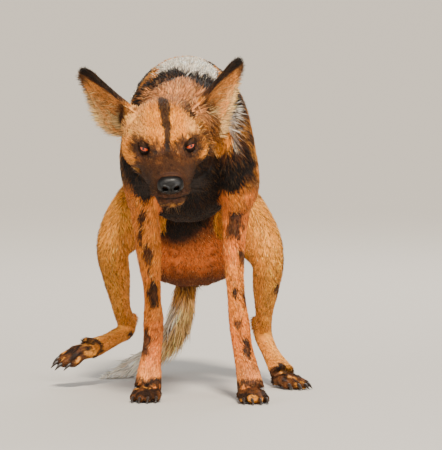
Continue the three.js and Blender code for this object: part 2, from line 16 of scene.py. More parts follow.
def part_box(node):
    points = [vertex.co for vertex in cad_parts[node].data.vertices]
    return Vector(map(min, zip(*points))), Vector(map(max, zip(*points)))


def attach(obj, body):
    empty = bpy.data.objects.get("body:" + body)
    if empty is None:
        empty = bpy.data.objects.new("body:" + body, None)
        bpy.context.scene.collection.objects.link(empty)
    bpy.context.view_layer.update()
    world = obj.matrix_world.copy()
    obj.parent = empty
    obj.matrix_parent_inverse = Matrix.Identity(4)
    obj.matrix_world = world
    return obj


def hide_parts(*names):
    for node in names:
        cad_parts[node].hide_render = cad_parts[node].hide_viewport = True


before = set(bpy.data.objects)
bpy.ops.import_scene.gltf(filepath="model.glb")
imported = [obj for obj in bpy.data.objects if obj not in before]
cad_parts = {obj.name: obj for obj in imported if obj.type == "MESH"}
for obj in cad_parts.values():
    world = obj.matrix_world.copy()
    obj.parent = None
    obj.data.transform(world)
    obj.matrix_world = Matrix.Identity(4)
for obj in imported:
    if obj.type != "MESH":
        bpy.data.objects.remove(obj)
logging.basicConfig(level=logging.INFO, format="%(message)s")
LOG = logging.getLogger("wild_dog")
MM = 0.001
# A mesh object, an array that mostly holds one row for each point, and a seeded source of draws.
Piece = bpy.types.Object
Rows = np.ndarray
Draws = np.random.Generator

# The head's place in the solids, and the eye in the head's own frame.
NOSE_TIP = (-32.0, -216.0, 387.0)
HEAD_TURN = (26.0, -3.5, 2.0)
EYE_CENTRE = (36.0, 103.0, 24.5)
EYE_RADIUS = 11.5


def head_matrix() -> Rows:
    """The 4 by 4 matrix from the head's own frame to the dog's, in mm."""
    turn = Euler([math.radians(a) for a in HEAD_TURN], "XYZ").to_matrix().to_4x4()
    return np.array(Matrix.Translation(NOSE_TIP) @ turn)


HEAD = head_matrix()
SIDES = {"left": 1, "right": -1}
# The darkest that hair gets, as a linear value, and how much darker the skin is under it.
DARKEST = 0.002
UNDER_HAIR = 0.7


def moved(points: Rows, matrix: Rows) -> Rows:
    """Points taken through a 4 by 4 matrix."""
    return points @ matrix[:3, :3].T + matrix[:3, 3]


def in_head(points: Rows) -> Rows:
    """Points of the dog's frame in the head's own frame."""
    return moved(points, np.linalg.inv(HEAD))


class Place:
    """Turns millimetres of the dog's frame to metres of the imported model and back."""

    def __init__(self) -> None:
        """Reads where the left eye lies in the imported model."""
        low, high = (np.array(c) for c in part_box("eye_left"))
        eye = moved(np.array([EYE_CENTRE]), HEAD)[0]
        self.shift = (low + high) / 2 / MM - eye

    def metres(self, points: Rows) -> Rows:
        """Millimetres of the dog's frame as metres of the model."""
        return (np.asarray(points, float) + self.shift) * MM

    def millimetres(self, points: Rows) -> Rows:
        """Metres of the model as millimetres of the dog's frame."""
        return np.asarray(points, float) / MM - self.shift


PLACE = Place()


def spline(points: Rows, t: Rows) -> Rows:
    """Rows on a Catmull-Rom spline through evenly counted points.

    Args:
        points: The rows that the spline passes through.
        t: Shares along it, from 0 to 1.

    Returns:
        One row for each share.
    """
    last = len(points) - 1
    padded = np.vstack([2 * points[0] - points[1], points, 2 * points[-1] - points[-2]])
    u = np.clip(t, 0, 1) * last
    i = np.minimum(u.astype(int), last - 1)
    f = (u - i)[:, None]
    a, b, c, d = (padded[i + k] for k in range(4))
    square, cube = 2 * a - 5 * b + 4 * c - d, 3 * b - a - 3 * c + d
    return 0.5 * (2 * b + (c - a) * f + square * f**2 + cube * f**3)


def unit(rows: Rows) -> Rows:
    """Each row made one long."""
    return rows / np.maximum(np.linalg.norm(rows, axis=-1, keepdims=True), 1e-9)


@dataclass
class Bend:
    """A tube along a spline, as in the solids.

    Attributes:
        stations: Rows of x, y, z, half width, above, below, power above, power below.
        side: What the tube's left is nearest to.
        matrix: From the stations' frame to the dog's.
    """

    stations: list
    side: tuple = (1.0, 0.0, 0.0)
    matrix: Rows = field(default_factory=lambda: np.eye(4))

    def __post_init__(self) -> None:
        """Fills the columns that a station leaves out."""
        rows = []
        for s in self.stations:
            half = s[3]
            above = s[4] if len(s) > 4 else half
            below = s[5] if len(s) > 5 else above
            high = s[6] if len(s) > 6 else 2
            rows.append([*s[:3], half, above, below, high, s[7] if len(s) > 7 else high])
        self.rows = np.array(rows, float)

    def line(self, t: Rows) -> Rows:
        """Points of the middle line in the stations' frame."""
        return spline(self.rows[:, :3], t)

    def axes(self, t: Rows) -> tuple[Rows, Rows, Rows]:
        """Heading, left and up at each share, in the stations' frame.

        Args:
            t: Shares along it, from 0 to 1.

        Returns:
            The three ways, one row for each share.
        """
        heading = unit(self.line(np.minimum(t + 1e-3, 1)) - self.line(np.maximum(t - 1e-3, 0)))
        side = np.array(self.side)
        left = unit(side - heading * (heading @ side)[:, None])
        return heading, left, unit(np.cross(left, heading))

    def skin(self, t: Rows, angle: Rows, grow: float = 0.0) -> Rows:
        """Points of the tube's surface in the stations' frame.

        Args:
            t: Shares along the tube.
            angle: Angles from up towards left, in radians.
            grow: Millimetres that the surface stands out further.

        Returns:
            One row for each pair of share and angle.
        """
        sizes = spline(self.rows[:, 3:], t)
        _, left, up = self.axes(t)
        across, over = np.sin(angle), np.cos(angle)
        power = np.where(over > 0, sizes[:, 3], sizes[:, 4])
        reach = np.where(over > 0, sizes[:, 1], sizes[:, 2]) + grow
        across, over = (np.sign(v) * np.abs(v) ** (2 / power) for v in (across, over))
        aside = left * ((sizes[:, 0] + grow) * across)[:, None]
        return self.line(t) + aside + up * (reach * over)[:, None]

    def world(self, points: Rows) -> Rows:
        """Points of the stations' frame in the dog's frame."""
        return moved(points, self.matrix)


def linear(code: str) -> Rows:
    """A six digit sRGB hex value as linear red, green and blue."""
    share = np.array([int(code[i : i + 2], 16) for i in (0, 2, 4)]) / 255
    return np.where(share <= 0.04045, share / 12.92, ((share + 0.055) / 1.055) ** 2.4)


# Odd factors that scatter whole numbers, for the lattice of the noise.
SCATTER, SCATTER_SEED, SCATTER_MIX = (374761393, 668265263, 2147483647), 974634777, 1274126177
LOW_BITS = 0xFFFFFF


def lattice(cell: Rows, seed: int) -> Rows:
    """A fixed value from 0 to 1 for each whole-numbered cell.

    Args:
        cell: Rows of three whole numbers.
        seed: Which of the fields to read.

    Returns:
        One value for each row.
    """
    mixed = cell @ np.array(SCATTER) + seed * SCATTER_SEED
    mixed = (mixed ^ (mixed >> 13)) * SCATTER_MIX
    return ((mixed ^ (mixed >> 16)) & LOW_BITS) / LOW_BITS


def noise(points: Rows, size: float, seed: int = 0, octaves: int = 1) -> Rows:
    """Smooth value noise from -1 to 1.

    Args:
        points: Where to read it, in mm.
        size: Millimetres across one swelling.
        seed: Which of the fields to read.
        octaves: How many halvings are added, each half as strong.

    Returns:
        One value for each point.
    """
    total, weight = np.zeros(len(points)), 0.0
    for octave in range(octaves):
        p = points / (size / 2**octave) + 57.3 * (octave + 1)
        cell = np.floor(p).astype(np.int64)
        f = p - cell
        f = f * f * (3 - 2 * f)
        value = np.zeros(len(points))
        for corner in range(8):
            step = np.array([corner & 1, corner >> 1 & 1, corner >> 2 & 1])
            near = np.prod(np.where(step, f, 1 - f), 1)
            value += near * lattice(cell + step, seed + octave)
        total += (2 * value - 1) / 2**octave
        weight += 1 / 2**octave
    return total / weight


def ramp(value: Rows, low: float, high: float) -> Rows:
    """0 at `low` and 1 at `high`, with soft ends; `low` may be the greater."""
    share = np.clip((value - low) / (high - low), 0, 1)
    return share * share * (3 - 2 * share)


def lay_over(under: Rows, tone: Rows, mask: Rows) -> Rows:
    """Rows of colour with another laid over them as far as the mask goes, from 0 to 1."""
    return under + mask[:, None] * (tone - under)


# Head, body and limbs as in the solids: x, y, z, half width, reach above and below, and powers.
SKULL = Bend([
    [0, 0, -3, 14, 13, 18, 2.5, 2.4],
    [0, 3, -2, 19.5, 17, 26, 2.6, 2.4],
    [0, 14, 0, 25.5, 20.5, 33, 2.6, 2.7],
    [0, 30, 0, 32.5, 22.5, 37.5, 2.5, 2.8],
    [0, 50, 0, 35.5, 24, 40, 2.4, 2.8],
    [0, 72, 0, 39, 27, 41, 2.3, 2.7],
    [0, 90, 2, 46, 36, 42, 2.2, 2.5],
    [0, 108, 5, 57, 48, 42, 2.1, 2.4],
    [0, 128, 7, 67, 57, 46, 2, 2.2],
    [0, 150, 8, 71, 62, 50, 2, 2.1],
    [0, 172, 8, 71, 63, 52, 2, 2.1],
    [0, 194, 8, 65, 59, 52, 2, 2],
    [0, 218, 8, 55, 49, 48, 2, 2],
    [0, 240, 8, 40, 36, 40, 2, 2],
], matrix=HEAD)
JAW = Bend([
    [0, 5, -31, 9, 7, 9],
    [0, 13, -33, 20, 10, 13.5],
    [0, 34, -35, 28, 14, 16],
    [0, 62, -38, 32, 14, 17],
    [0, 92, -41, 37, 20, 19],
    [0, 122, -42, 44, 30, 21],
    [0, 152, -40, 50, 34, 26],
    [0, 182, -36, 48, 34, 30],
], matrix=HEAD)
NECK = Bend([
    [-31, -98, 452, 28, 30, 44],
    [-29, -76, 462, 46, 44, 70],
    [-23, -40, 472, 62, 66, 90],
    [-13, 5, 474, 80, 90, 98],
    [-6, 62, 464, 84, 98, 106],
])
TRUNK = Bend([
    [-5, -34, 424, 44, 56, 50],
    [-6, 15, 438, 82, 112, 106, 2, 2],
    [-8, 85, 446, 101, 140, 140, 1.95, 2.1],
    [-8, 160, 450, 112, 146, 148, 1.95, 2.1],
    [-6, 228, 447, 113, 140, 138, 2, 2.1],
    [-2, 285, 418, 102, 124, 104, 2.1, 2.1],
    [0, 330, 366, 91, 104, 86, 2.1, 2.1],
    [1, 358, 306, 94, 88, 78, 2.1, 2.2],
    [3, 374, 250, 99, 66, 66, 2.4, 2.4],
    [4, 380, 212, 90, 46, 58, 2.4, 2.4],
    [5, 380, 186, 68, 34, 44, 2.2, 2.2],
    [6, 379, 169, 30, 16, 20],
])
FORE_LEFT = Bend([
    [44, 112, 546, 28, 46, 42],
    [58, 84, 500, 40, 66, 60],
    [78, 30, 432, 38, 58, 60],
    [84, 44, 374, 38, 54, 50],
    [80, 56, 326, 26, 40, 36],
    [77, 44, 256, 19, 27, 24],
    [80, 22, 190, 15.5, 19, 18],
    [86, 4, 134, 18.5, 18, 18.5],
    [92, -10, 92, 18, 15, 15],
    [101, -26, 50, 21, 18, 17, 2.4],
    [106, -36, 24, 24, 24, 20, 2.6],
])
FORE_RIGHT = Bend([
    [-52, 112, 546, 28, 46, 42],
    [-66, 84, 500, 40, 66, 60],
    [-86, 34, 432, 38, 58, 60],
    [-86, 52, 372, 32, 54, 50],
    [-80, 64, 326, 26, 40, 36],
    [-73, 54, 256, 22, 27, 24],
    [-67, 38, 190, 15.5, 19, 18],
    [-64, 24, 134, 18.5, 18, 18.5],
    [-66, 14, 92, 18, 15, 15],
    [-71, 0, 50, 21, 18, 17, 2.4],
    [-74, -10, 24, 24, 24, 20, 2.6],
])
HIND_LEFT = Bend([
    [46, 352, 330, 42, 62, 60],
    [86, 306, 306, 46, 70, 62],
    [120, 262, 268, 40, 58, 46],
    [137, 236, 226, 30, 40, 30],
    [135, 262, 176, 24, 33, 23],
    [132, 298, 128, 16.5, 20, 18],
    [130, 328, 88, 17, 19, 17],
    [141, 298, 60, 15.5, 14, 15],
    [156, 254, 36, 19, 15, 15, 2.4],
    [165, 228, 22, 22, 17, 20, 2.6],
])
HIND_RIGHT = Bend([
    [-46, 352, 334, 42, 62, 60],
    [-88, 306, 318, 46, 70, 62],
    [-122, 262, 284, 40, 58, 46],
    [-139, 238, 244, 30, 40, 30],
    [-133, 264, 190, 24, 33, 23],
    [-126, 300, 138, 17, 20, 18],
    [-117, 330, 98, 17, 19, 17],
    [-138, 300, 82, 15.5, 14, 15],
    [-166, 256, 72, 19, 15, 15, 2.4],
    [-182, 240, 68, 22, 17, 20, 2.6],
])
LEGS = {"fore_left": FORE_LEFT, "fore_right": FORE_RIGHT, "hind_left": HIND_LEFT, "hind_right": HIND_RIGHT}

# Points of the heels and elbows, as short tubes out of the leg.
POINTS_OF_BONE = [
    [[126, 322, 84, 12], [119, 344, 104, 11], [115, 352, 116, 6]],
    [[-117, 324, 94, 12], [-108, 346, 110, 11], [-103, 354, 121, 6]],
    [[80, 62, 336, 22], [80, 92, 338, 15], [80, 102, 340, 8]],
    [[-82, 70, 336, 22], [-82, 100, 338, 15], [-82, 110, 340, 8]],
]

TAIL = Bend([
    [0, 368, 262, 28],
    [-1, 418, 240, 24],
    [-4, 447, 213, 20],
    [-9, 466, 170, 16],
    [-18, 472, 118, 16],
    [-34, 460, 78, 15],
    [-62, 444, 48, 12],
    [-92, 424, 29, 10],
    [-122, 402, 13, 8],
    [-150, 382, 5, 4],
])

# Each foot's frame: where its toes join, then pitch, roll and yaw. -Y runs to the toes' tips.
FEET = {
    "fore_left": ((106, -42, 0.5), (0, 0, 10)),
    "fore_right": ((-75, -16, 0.5), (0, 0, -6)),
    "hind_left": ((170, 214, 0.5), (0, 0, 32)),
    "hind_right": ((-190, 232, 51), (16, 12, -58)),
}
TOES = [(-18.5, 34, -1), (-6.5, 45, 3), (6.5, 45, 3), (18.5, 34, -1)]  # side, reach, lift
TOE_RADIUS = 8.4
# The pad behind the toes, in the foot's frame, and the muscle under an ear, in the ear's.
HEEL_PAD = [[0, 20, 10, 10, 8], [0, 6, 9, 17, 8.5], [0, -8, 9, 11, 7]]
EAR_MOUND = [
    [0, 2, -48, 34, 25],
    [0, 2, -24, 34, 25],
    [0, 3, -6, 29, 20],
    [0, 5, 8, 22, 13],
    [0, 7, 16, 12, 6],
]


def frame_at(point: tuple, turn: tuple) -> Rows:
    """A frame at a point, turned by pitch about X, roll about Y and yaw about Z, in degrees."""
    rotation = Euler([math.radians(a) for a in turn], "XYZ").to_matrix().to_4x4()
    return np.array(Matrix.Translation(point) @ rotation)


# An ear as in the solids: its own frame has the tip along +Z and the hollow towards -Y.
EAR_LENGTH = 118.0
EAR_WIDTH = 86.0
EAR_CUP = (32.0, 9.0)
EAR_WALL = (4.5, 1.8)
EAR_SUNK = 24.0
EAR_SLANT = 9.0
EAR_ROOT = np.array([64.0, 186.0, 38.0])
EAR_TIP = np.array([141.0, 254.0, 96.0])


def ear_matrix(flip: int) -> Rows:
    """The frame of one ear in the dog's frame.

    Args:
        flip: 1 for the left side and -1 for the right.

    Returns:
        The 4 by 4 matrix.
    """
    root, tip = EAR_ROOT * [flip, 1, 1], EAR_TIP * [flip, 1, 1]
    rise = unit(tip - root)
    hollow = np.array([flip * 0.4, -0.86, -0.32])
    back = -unit(hollow - rise * (hollow @ rise))
    own = np.eye(4)
    own[:3, :3] = np.stack([unit(np.cross(back, rise)), back, rise], 1)
    own[:3, 3] = root
    return HEAD @ own


def ear_profile(t: Rows) -> Rows:
    """Half width of the ear from root to tip, as a share of its greatest.

    Args:
        t: Shares from root to tip.

    Returns:
        One share for each place.
    """
    root = 0.7 + 0.3 * np.sin(np.minimum(1, t / 0.45) * np.pi / 2)
    tip = np.sqrt(np.maximum(0, 1 - np.maximum(0, (t - 0.45) / 0.55) ** 2.4))
    return root * tip


def ear_taper(t: Rows, low: Rows) -> Rows:
    """How much the lower half of an ear narrows towards its tip; `low` is positive there."""
    return 1 - 0.36 * ramp(t, 0.35, 0.95) * (low > 0)


def ear_points(flip: int, t: Rows, across: Rows, wall: Rows) -> Rows:
    """Points of an ear's blade in its own frame.

    Args:
        flip: 1 for the left ear and -1 for the right.
        t: Shares from root to tip.
        across: From one edge, -1, to the other, 1.
        wall: Millimetres off the blade's middle, towards its back.

    Returns:
        One row for each share.
    """
    aside = EAR_WIDTH / 2 * ear_profile(t) * across * ear_taper(t, across * flip)
    curve = (EAR_CUP[0] + (EAR_CUP[1] - EAR_CUP[0]) * t) / (EAR_WIDTH / 2) ** 2
    slope = 2 * curve * aside
    long = np.hypot(slope, 1)
    deep = 0.45 * EAR_CUP[0] * (1 - t) - curve * aside**2 + wall / long
    rise = t * (EAR_LENGTH + EAR_SUNK) - EAR_SUNK - flip * EAR_SLANT * across * (1 - t)
    return np.stack([aside + slope / long * wall, deep, rise], 1)


# Swellings and hollows of the face: centre, push, reach, in the head's frame, left side.
FACE_FORMS = [
    ((34, 98, 45), (2, -5, 5), 16),
    ((20, 92, 36), (0, -2, 3), 12),
    ((46, 84, 12), (-2, 3, 0), 12),
    ((62, 112, 4), (5, -2, 1), 16),
    ((66, 140, -8), (8, -2, -2), 26),
    ((56, 156, -40), (9, 0, -4), 26),
    ((42, 74, -12), (6, -2, 0), 22),
    ((27, 28, -20), (4, -2, -3), 13),
    ((32, 52, -26), (2, 0, -2), 15),
    ((15, 20, -38), (4, -3, 0), 12),
    ((0, 128, 68), (0, 1, -4), 14),
    ((0, 82, 36), (0, 3, -5), 17),
]


def face_forms(points: Rows) -> Rows:
    """Points of the head's frame pushed by each form, on both sides.

    Args:
        points: Points in the head's frame, in mm.

    Returns:
        The moved points.
    """
    out = points.copy()
    for centre, push, reach in FACE_FORMS:
        for flip in (1, -1) if centre[0] else (1,):
            near = np.exp(-np.sum((points - np.array(centre) * [flip, 1, 1]) ** 2, 1) / reach**2)
            out += near[:, None] * np.array(push) * [flip, 1, 1]
    return out


# The line between the lips in the side view of the head: back and up.
MOUTH_LINE = np.array([[-8, -27], [14, -27], [30, -31], [50, -33.5], [70, -33], [84, -30], [95, -24]], float)


def off_line(places: Rows, line: Rows) -> Rows:
    """How far each row of `places` lies from a line of straight stretches, above it positive.

    Args:
        places: Rows of two numbers.
        line: Its corners.

    Returns:
        Millimetres, one for each row.
    """
    best = np.full(len(places), 1e9)
    signed = np.zeros(len(places))
    for a, b in zip(line[:-1], line[1:]):
        along = b - a
        t = np.clip((places - a) @ along / (along @ along), 0, 1)
        away = places - a - t[:, None] * along
        far = np.hypot(away[:, 0], away[:, 1])
        closer = far < best
        best = np.where(closer, far, best)
        signed = np.where(closer, np.sign(away[:, 1]) * far, signed)
    return signed


# An eye's frame turns with the head: -Y looks out, X runs to the dog's left. The almond between
# the lids reaches from the inner to the outer corner, in mm from the middle of the ball.
EYE_TURN = (-8.0, 6.0, 27.0)
ALMOND_INNER, ALMOND_OUTER = (-12.0, -3.0), (11.5, 1.6)
ALMOND_ABOVE, ALMOND_BELOW = 3.7, 3.6


def eye_matrix(flip: int) -> Rows:
    """The frame of one eye in the dog's frame."""
    pitch, roll, yaw = EYE_TURN
    return HEAD @ frame_at(tuple(EYE_CENTRE * np.array([flip, 1, 1])), (pitch, flip * roll, flip * yaw))


def almond(side: Rows, up: Rows) -> Rows:
    """How far inside the opening of the lids a place lies, negative outside, in mm.

    Args:
        side: Millimetres towards the outer corner.
        up: Millimetres up.

    Returns:
        Millimetres, one for each place.
    """
    (x0, z0), (x1, z1) = ALMOND_INNER, ALMOND_OUTER
    s = (side - x0) / (x1 - x0)
    middle = z0 + (z1 - z0) * s
    arch = 4 * s * (1 - s)
    return np.minimum(middle + ALMOND_ABOVE * arch - up, up - middle + ALMOND_BELOW * arch)


# Pairs of teats: shares along the trunk, and the angle to each side of the belly's middle.
TEAT_SHARES = (0.73, 0.8, 0.86)
TEAT_ANGLE = 0.3


def teats() -> list[tuple[Rows, Rows]]:
    """The root of each teat and the way that it points.

    Returns:
        A root and a way for each.
    """
    made = []
    for share in TEAT_SHARES:
        for side in (-1, 1):
            t, angle = np.array([share]), np.array([math.pi + side * TEAT_ANGLE])
            root = TRUNK.skin(t, angle)[0]
            made.append((root, unit(root - TRUNK.line(t)[0] + np.array([0, 0, -14]))))
    return made


# How far a vertex goes to the middle of its neighbours, and then back, as shares.
EVENING = (0.55, -0.5)


class Mesh:
    """Small steps on meshes that the pieces share."""

    @staticmethod
    def alone(*pieces: Piece) -> None:
        """Selects only these objects, the first of them active.

        Args:
            pieces: The objects.
        """
        bpy.ops.object.select_all(action="DESELECT")
        for piece in pieces:
            piece.select_set(True)
        bpy.context.view_layer.objects.active = pieces[0]

    @staticmethod
    def rows(items: bpy.types.bpy_prop_collection, name: str, wide: int, kind: type = np.float32) -> Rows:
        """One row of numbers for each item of a mesh.

        Args:
            items: The mesh's vertices, edges or the like.
            name: What is read of each.
            wide: How many numbers an item has.
            kind: The type of a number.

        Returns:
            The rows.
        """
        flat = np.empty(len(items) * wide, kind)
        items.foreach_get(name, flat)
        return flat.reshape(-1, wide)

    @staticmethod
    def points(piece: Piece) -> Rows:
        """The vertices of a piece in millimetres of the dog's frame."""
        return PLACE.millimetres(Mesh.rows(piece.data.vertices, "co", 3))

    @staticmethod
    def place(piece: Piece, points: Rows) -> None:
        """Puts the vertices at points given in millimetres of the dog's frame."""
        piece.data.vertices.foreach_set("co", PLACE.metres(points).astype(np.float32).ravel())
        piece.data.update()

    @staticmethod
    def normals(piece: Piece) -> Rows:
        """The vertex normals of a piece."""
        return Mesh.rows(piece.data.vertex_normals, "vector", 3).astype(float)

    @staticmethod
    def new(name: str, points: Rows, faces: Rows) -> Piece:
        """A piece from arrays.

        Args:
            name: The object's name.
            points: Its vertices in the dog's frame, in mm.
            faces: Vertex numbers, one row for each face.

        Returns:
            The new object.
        """
        mesh = bpy.data.meshes.new(name)
        piece = bpy.data.objects.new(name, mesh)
        bpy.context.collection.objects.link(piece)
        mesh.vertices.add(len(points))
        mesh.loops.add(faces.size)
        mesh.polygons.add(len(faces))
        mesh.loops.foreach_set("vertex_index", faces.astype(np.int32).ravel())
        mesh.polygons.foreach_set("loop_start", np.arange(0, faces.size, faces.shape[1], dtype=np.int32))
        Mesh.place(piece, points)
        mesh.update(calc_edges=True)
        return piece

    @staticmethod
    def relax(points: Rows, edges: Rows, rounds: int, share: Rows) -> Rows:
        """Evens a surface without much loss of size.

        Args:
            points: The vertices.
            edges: Pairs of neighbours.
            rounds: How often a vertex moves to the middle of its neighbours and part of the way back.
            share: How far each vertex takes part, from 0 to 1.

        Returns:
            The moved vertices.
        """
        count = len(points)
        a, b = edges[:, 0], edges[:, 1]
        degree = np.maximum(np.bincount(a, minlength=count) + np.bincount(b, minlength=count), 1)
        out = points.copy()
        for step in range(rounds * 2):
            amount = EVENING[step % 2] * share
            for axis in range(3):
                column = out[:, axis]
                total = np.bincount(a, column[b], count) + np.bincount(b, column[a], count)
                out[:, axis] = column + amount * (total / degree - column)
        return out

    @staticmethod
    def apply(piece: Piece, kind: str, **settings: object) -> None:
        """Adds a modifier with its settings and applies it.

        Args:
            piece: The object.
            kind: The type of modifier.
            settings: Values of its properties.
        """
        Mesh.alone(piece)
        step = piece.modifiers.new(kind.lower(), kind)
        for name, value in settings.items():
            setattr(step, name, value)
        bpy.ops.object.modifier_apply(modifier=step.name)

    @staticmethod
    def face_out(piece: Piece) -> None:
        """Turns the faces of a closed piece to look outwards.

        Args:
            piece: The object.
        """
        points = Mesh.points(piece)
        if ((points - points.mean(0)) * Mesh.normals(piece)).sum() < 0:
            piece.data.flip_normals()

    @staticmethod
    def smooth(piece: Piece) -> None:
        """Shades a piece smooth."""
        Mesh.alone(piece)
        bpy.ops.object.shade_smooth()


# Points nearer than this are one, in m; a tube's end closes over rings that widen by these shares.
MERGE = 1e-6
CAP = (0, 0.62, 0.9, 1)


def tube(name: str, bend: Bend, sides: int = 36, rings: int = 40, grow: float = 0.0) -> Piece:
    """A closed tube over a bend, made from a grid whose two long edges are joined.

    Args:
        name: The object's name.
        bend: Its line and sizes.
        sides: Faces round it.
        rings: Faces along it.
        grow: Millimetres that it stands out further.

    Returns:
        The new object.
    """
    bpy.ops.object.select_all(action="DESELECT")
    closing = len(CAP) - 1
    rows = rings + 2 * closing
    bpy.ops.mesh.primitive_grid_add(x_subdivisions=sides, y_subdivisions=rows, size=2)
    piece = bpy.context.object
    piece.name = name
    grid = Mesh.rows(piece.data.vertices, "co", 3).astype(float)
    row = np.rint((grid[:, 1] + 1) / 2 * rows)
    t = np.clip((row - closing) / rings, 0, 1)
    cap = np.interp(np.minimum(row, rows - row), range(len(CAP)), CAP)
    outer = bend.skin(t, grid[:, 0] * np.pi, grow)
    points = bend.line(t) * (1 - cap[:, None]) + outer * cap[:, None]
    Mesh.place(piece, bend.world(points))
    bpy.ops.object.mode_set(mode="EDIT")
    bpy.ops.mesh.select_all(action="SELECT")
    bpy.ops.mesh.remove_doubles(threshold=MERGE)
    bpy.ops.mesh.normals_make_consistent(inside=False)
    bpy.ops.object.mode_set(mode="OBJECT")
    return piece


def ball_points(name: str, segments: int, rings: int) -> tuple[Piece, Rows]:
    """A smooth sphere to be shaped.

    Args:
        name: The object's name.
        segments: Faces round it.
        rings: Faces from pole to pole.

    Returns:
        The new object, and its vertices as unit vectors.
    """
    bpy.ops.object.select_all(action="DESELECT")
    bpy.ops.mesh.primitive_uv_sphere_add(segments=segments, ring_count=rings, radius=1)
    piece = bpy.context.object
    piece.name = name
    Mesh.smooth(piece)
    return piece, Mesh.rows(piece.data.vertices, "co", 3).astype(float)


def ear_form(flip: int) -> Piece:
    """One ear's blade as a closed form, from a sphere whose poles are its root and tip.

    Args:
        flip: 1 for the left side and -1 for the right.

    Returns:
        The new object.
    """
    piece, ball = ball_points("ear", 88, 72)
    t = (1 + ball[:, 2]) / 2
    ring = unit(ball[:, :2])
    across, hollow = ring[:, 0], np.maximum(0, -ring[:, 1])
    wall = (EAR_WALL[0] + (EAR_WALL[1] - EAR_WALL[0]) * t) * ring[:, 1]
    fade = ramp(t, 0.72, 0.3) * hollow
    for place, high, wide in ((0.42, 3.2, 0.1), (0.08, 1.8, 0.08), (-0.3, 2.6, 0.12)):
        wall -= high * fade * np.exp(-(((across * flip - place - 0.1 * t) / wide) ** 2))
    rolled = 1.6 * np.exp(-(((np.abs(across) - 0.97) / 0.06) ** 2)) * np.sin(np.pi * np.clip(t, 0, 1)) ** 0.5
    blade = ear_points(flip, t, across, wall - rolled * (hollow > 0))
    Mesh.place(piece, moved(blade, ear_matrix(flip)))
    return piece


class Region(Enum):
    """Where on the dog a point of the skin lies."""

    HEAD = 0
    NECK = 1
    TRUNK = 2
    FORE_LEFT = 3
    FORE_RIGHT = 4
    HIND_LEFT = 5
    HIND_RIGHT = 6
    TAIL = 7
    EAR_LEFT = 8
    EAR_RIGHT = 9
    PAW = 10


EARS = {Region.EAR_LEFT: 1, Region.EAR_RIGHT: -1}


def ear_bend(flip: int) -> Bend:
    """The middle of an ear as a bend, for the lie of its hair."""
    rows = [[0, 6, z, w, w * 0.6] for z, w in ((-16, 28), (20, 36), (55, 40), (90, 32), (114, 14))]
    return Bend(rows, matrix=ear_matrix(flip))


def toe_bend(foot: str, side: float, reach: float, lift: float) -> Bend:
    """One toe from the root of the foot over its knuckle to its tip.

    Args:
        foot: Which foot.
        side: Millimetres aside of the middle.
        reach: Millimetres from root to tip.
        lift: Millimetres that its knuckle stands higher.

    Returns:
        The toe as a bend.
    """
    r = TOE_RADIUS
    return Bend(
        [
            [side * 0.85, 14, 12 + lift, r * 0.95],
            [side * 0.93, -8, 15.5 + lift, r * 0.98, r * 1.04],
            [side * 1.01, -reach * 0.44, 14.5 + lift, r * 0.86],
            [side * 1.06, -reach * 0.76, 10.5 + lift * 0.5, r * 0.93],
            [side * 1.08, -reach, 8, r * 0.92],
            [side * 1.08, -reach - 7, 6, r * 0.6],
        ],
        matrix=frame_at(*FEET[foot]),
    )


GUIDES: list[tuple[Region, Bend, int]] = [
    (Region.HEAD, SKULL, 28),
    (Region.HEAD, JAW, 16),
    (Region.NECK, NECK, 14),
    (Region.TRUNK, TRUNK, 36),
    *[(Region[name.upper()], leg, 40) for name, leg in LEGS.items()],
    (Region.TAIL, TAIL, 36),
    *[(region, ear_bend(flip), 12) for region, flip in EARS.items()],
    *[(Region.PAW, toe_bend(foot, *toe), 8) for foot in FEET for toe in TOES],
]


def on_ear(points: Rows, flip: int) -> tuple[Rows, Rows, Rows]:
    """Where points lie on an ear.

    Args:
        points: Points in the dog's frame.
        flip: 1 for the left ear and -1 for the right.

    Returns:
        Share from root to tip, share from the upper edge, -1, to the lower, 1, and mm off the blade.
    """
    own = moved(points, np.linalg.inv(ear_matrix(flip)))
    low = own[:, 0] * flip / (EAR_WIDTH / 2)
    t = (own[:, 2] + EAR_SUNK) / (EAR_LENGTH + EAR_SUNK)
    for _ in range(2):
        share = np.clip(t, 0, 1)
        low = own[:, 0] * flip / (EAR_WIDTH / 2) / np.maximum(ear_profile(share), 0.2)
        low = low / ear_taper(share, low)
        lean = EAR_SLANT * np.clip(low, -1, 1) * (1 - share)
        t = (own[:, 2] + EAR_SUNK + lean) / (EAR_LENGTH + EAR_SUNK)
    curve = (EAR_CUP[0] + (EAR_CUP[1] - EAR_CUP[0]) * share) / (EAR_WIDTH / 2) ** 2
    blade = 0.45 * EAR_CUP[0] * (1 - share) - curve * own[:, 0] ** 2
    return t, low, np.abs(own[:, 1] - blade) + 40 * np.maximum(0, np.abs(low) - 1.12)


# The point of the left shoulder, round which the hair is combed down, and how far, in mm.
SHOULDER, SHOULDER_REACH = np.array([86.0, 5.0, 450.0]), 62.0
# Where hair on a front that faces forward hangs down.
HANGING = (Region.NECK, Region.TRUNK, Region.FORE_LEFT, Region.FORE_RIGHT)
# The hair of shoulders and haunches runs back and down.
HAUNCH_LIE = (0.0, 0.3, -0.95)
# The least half width of a guide, in mm, and how many points are weighed at a time.
SLIMMEST = 6
BATCH = 20000


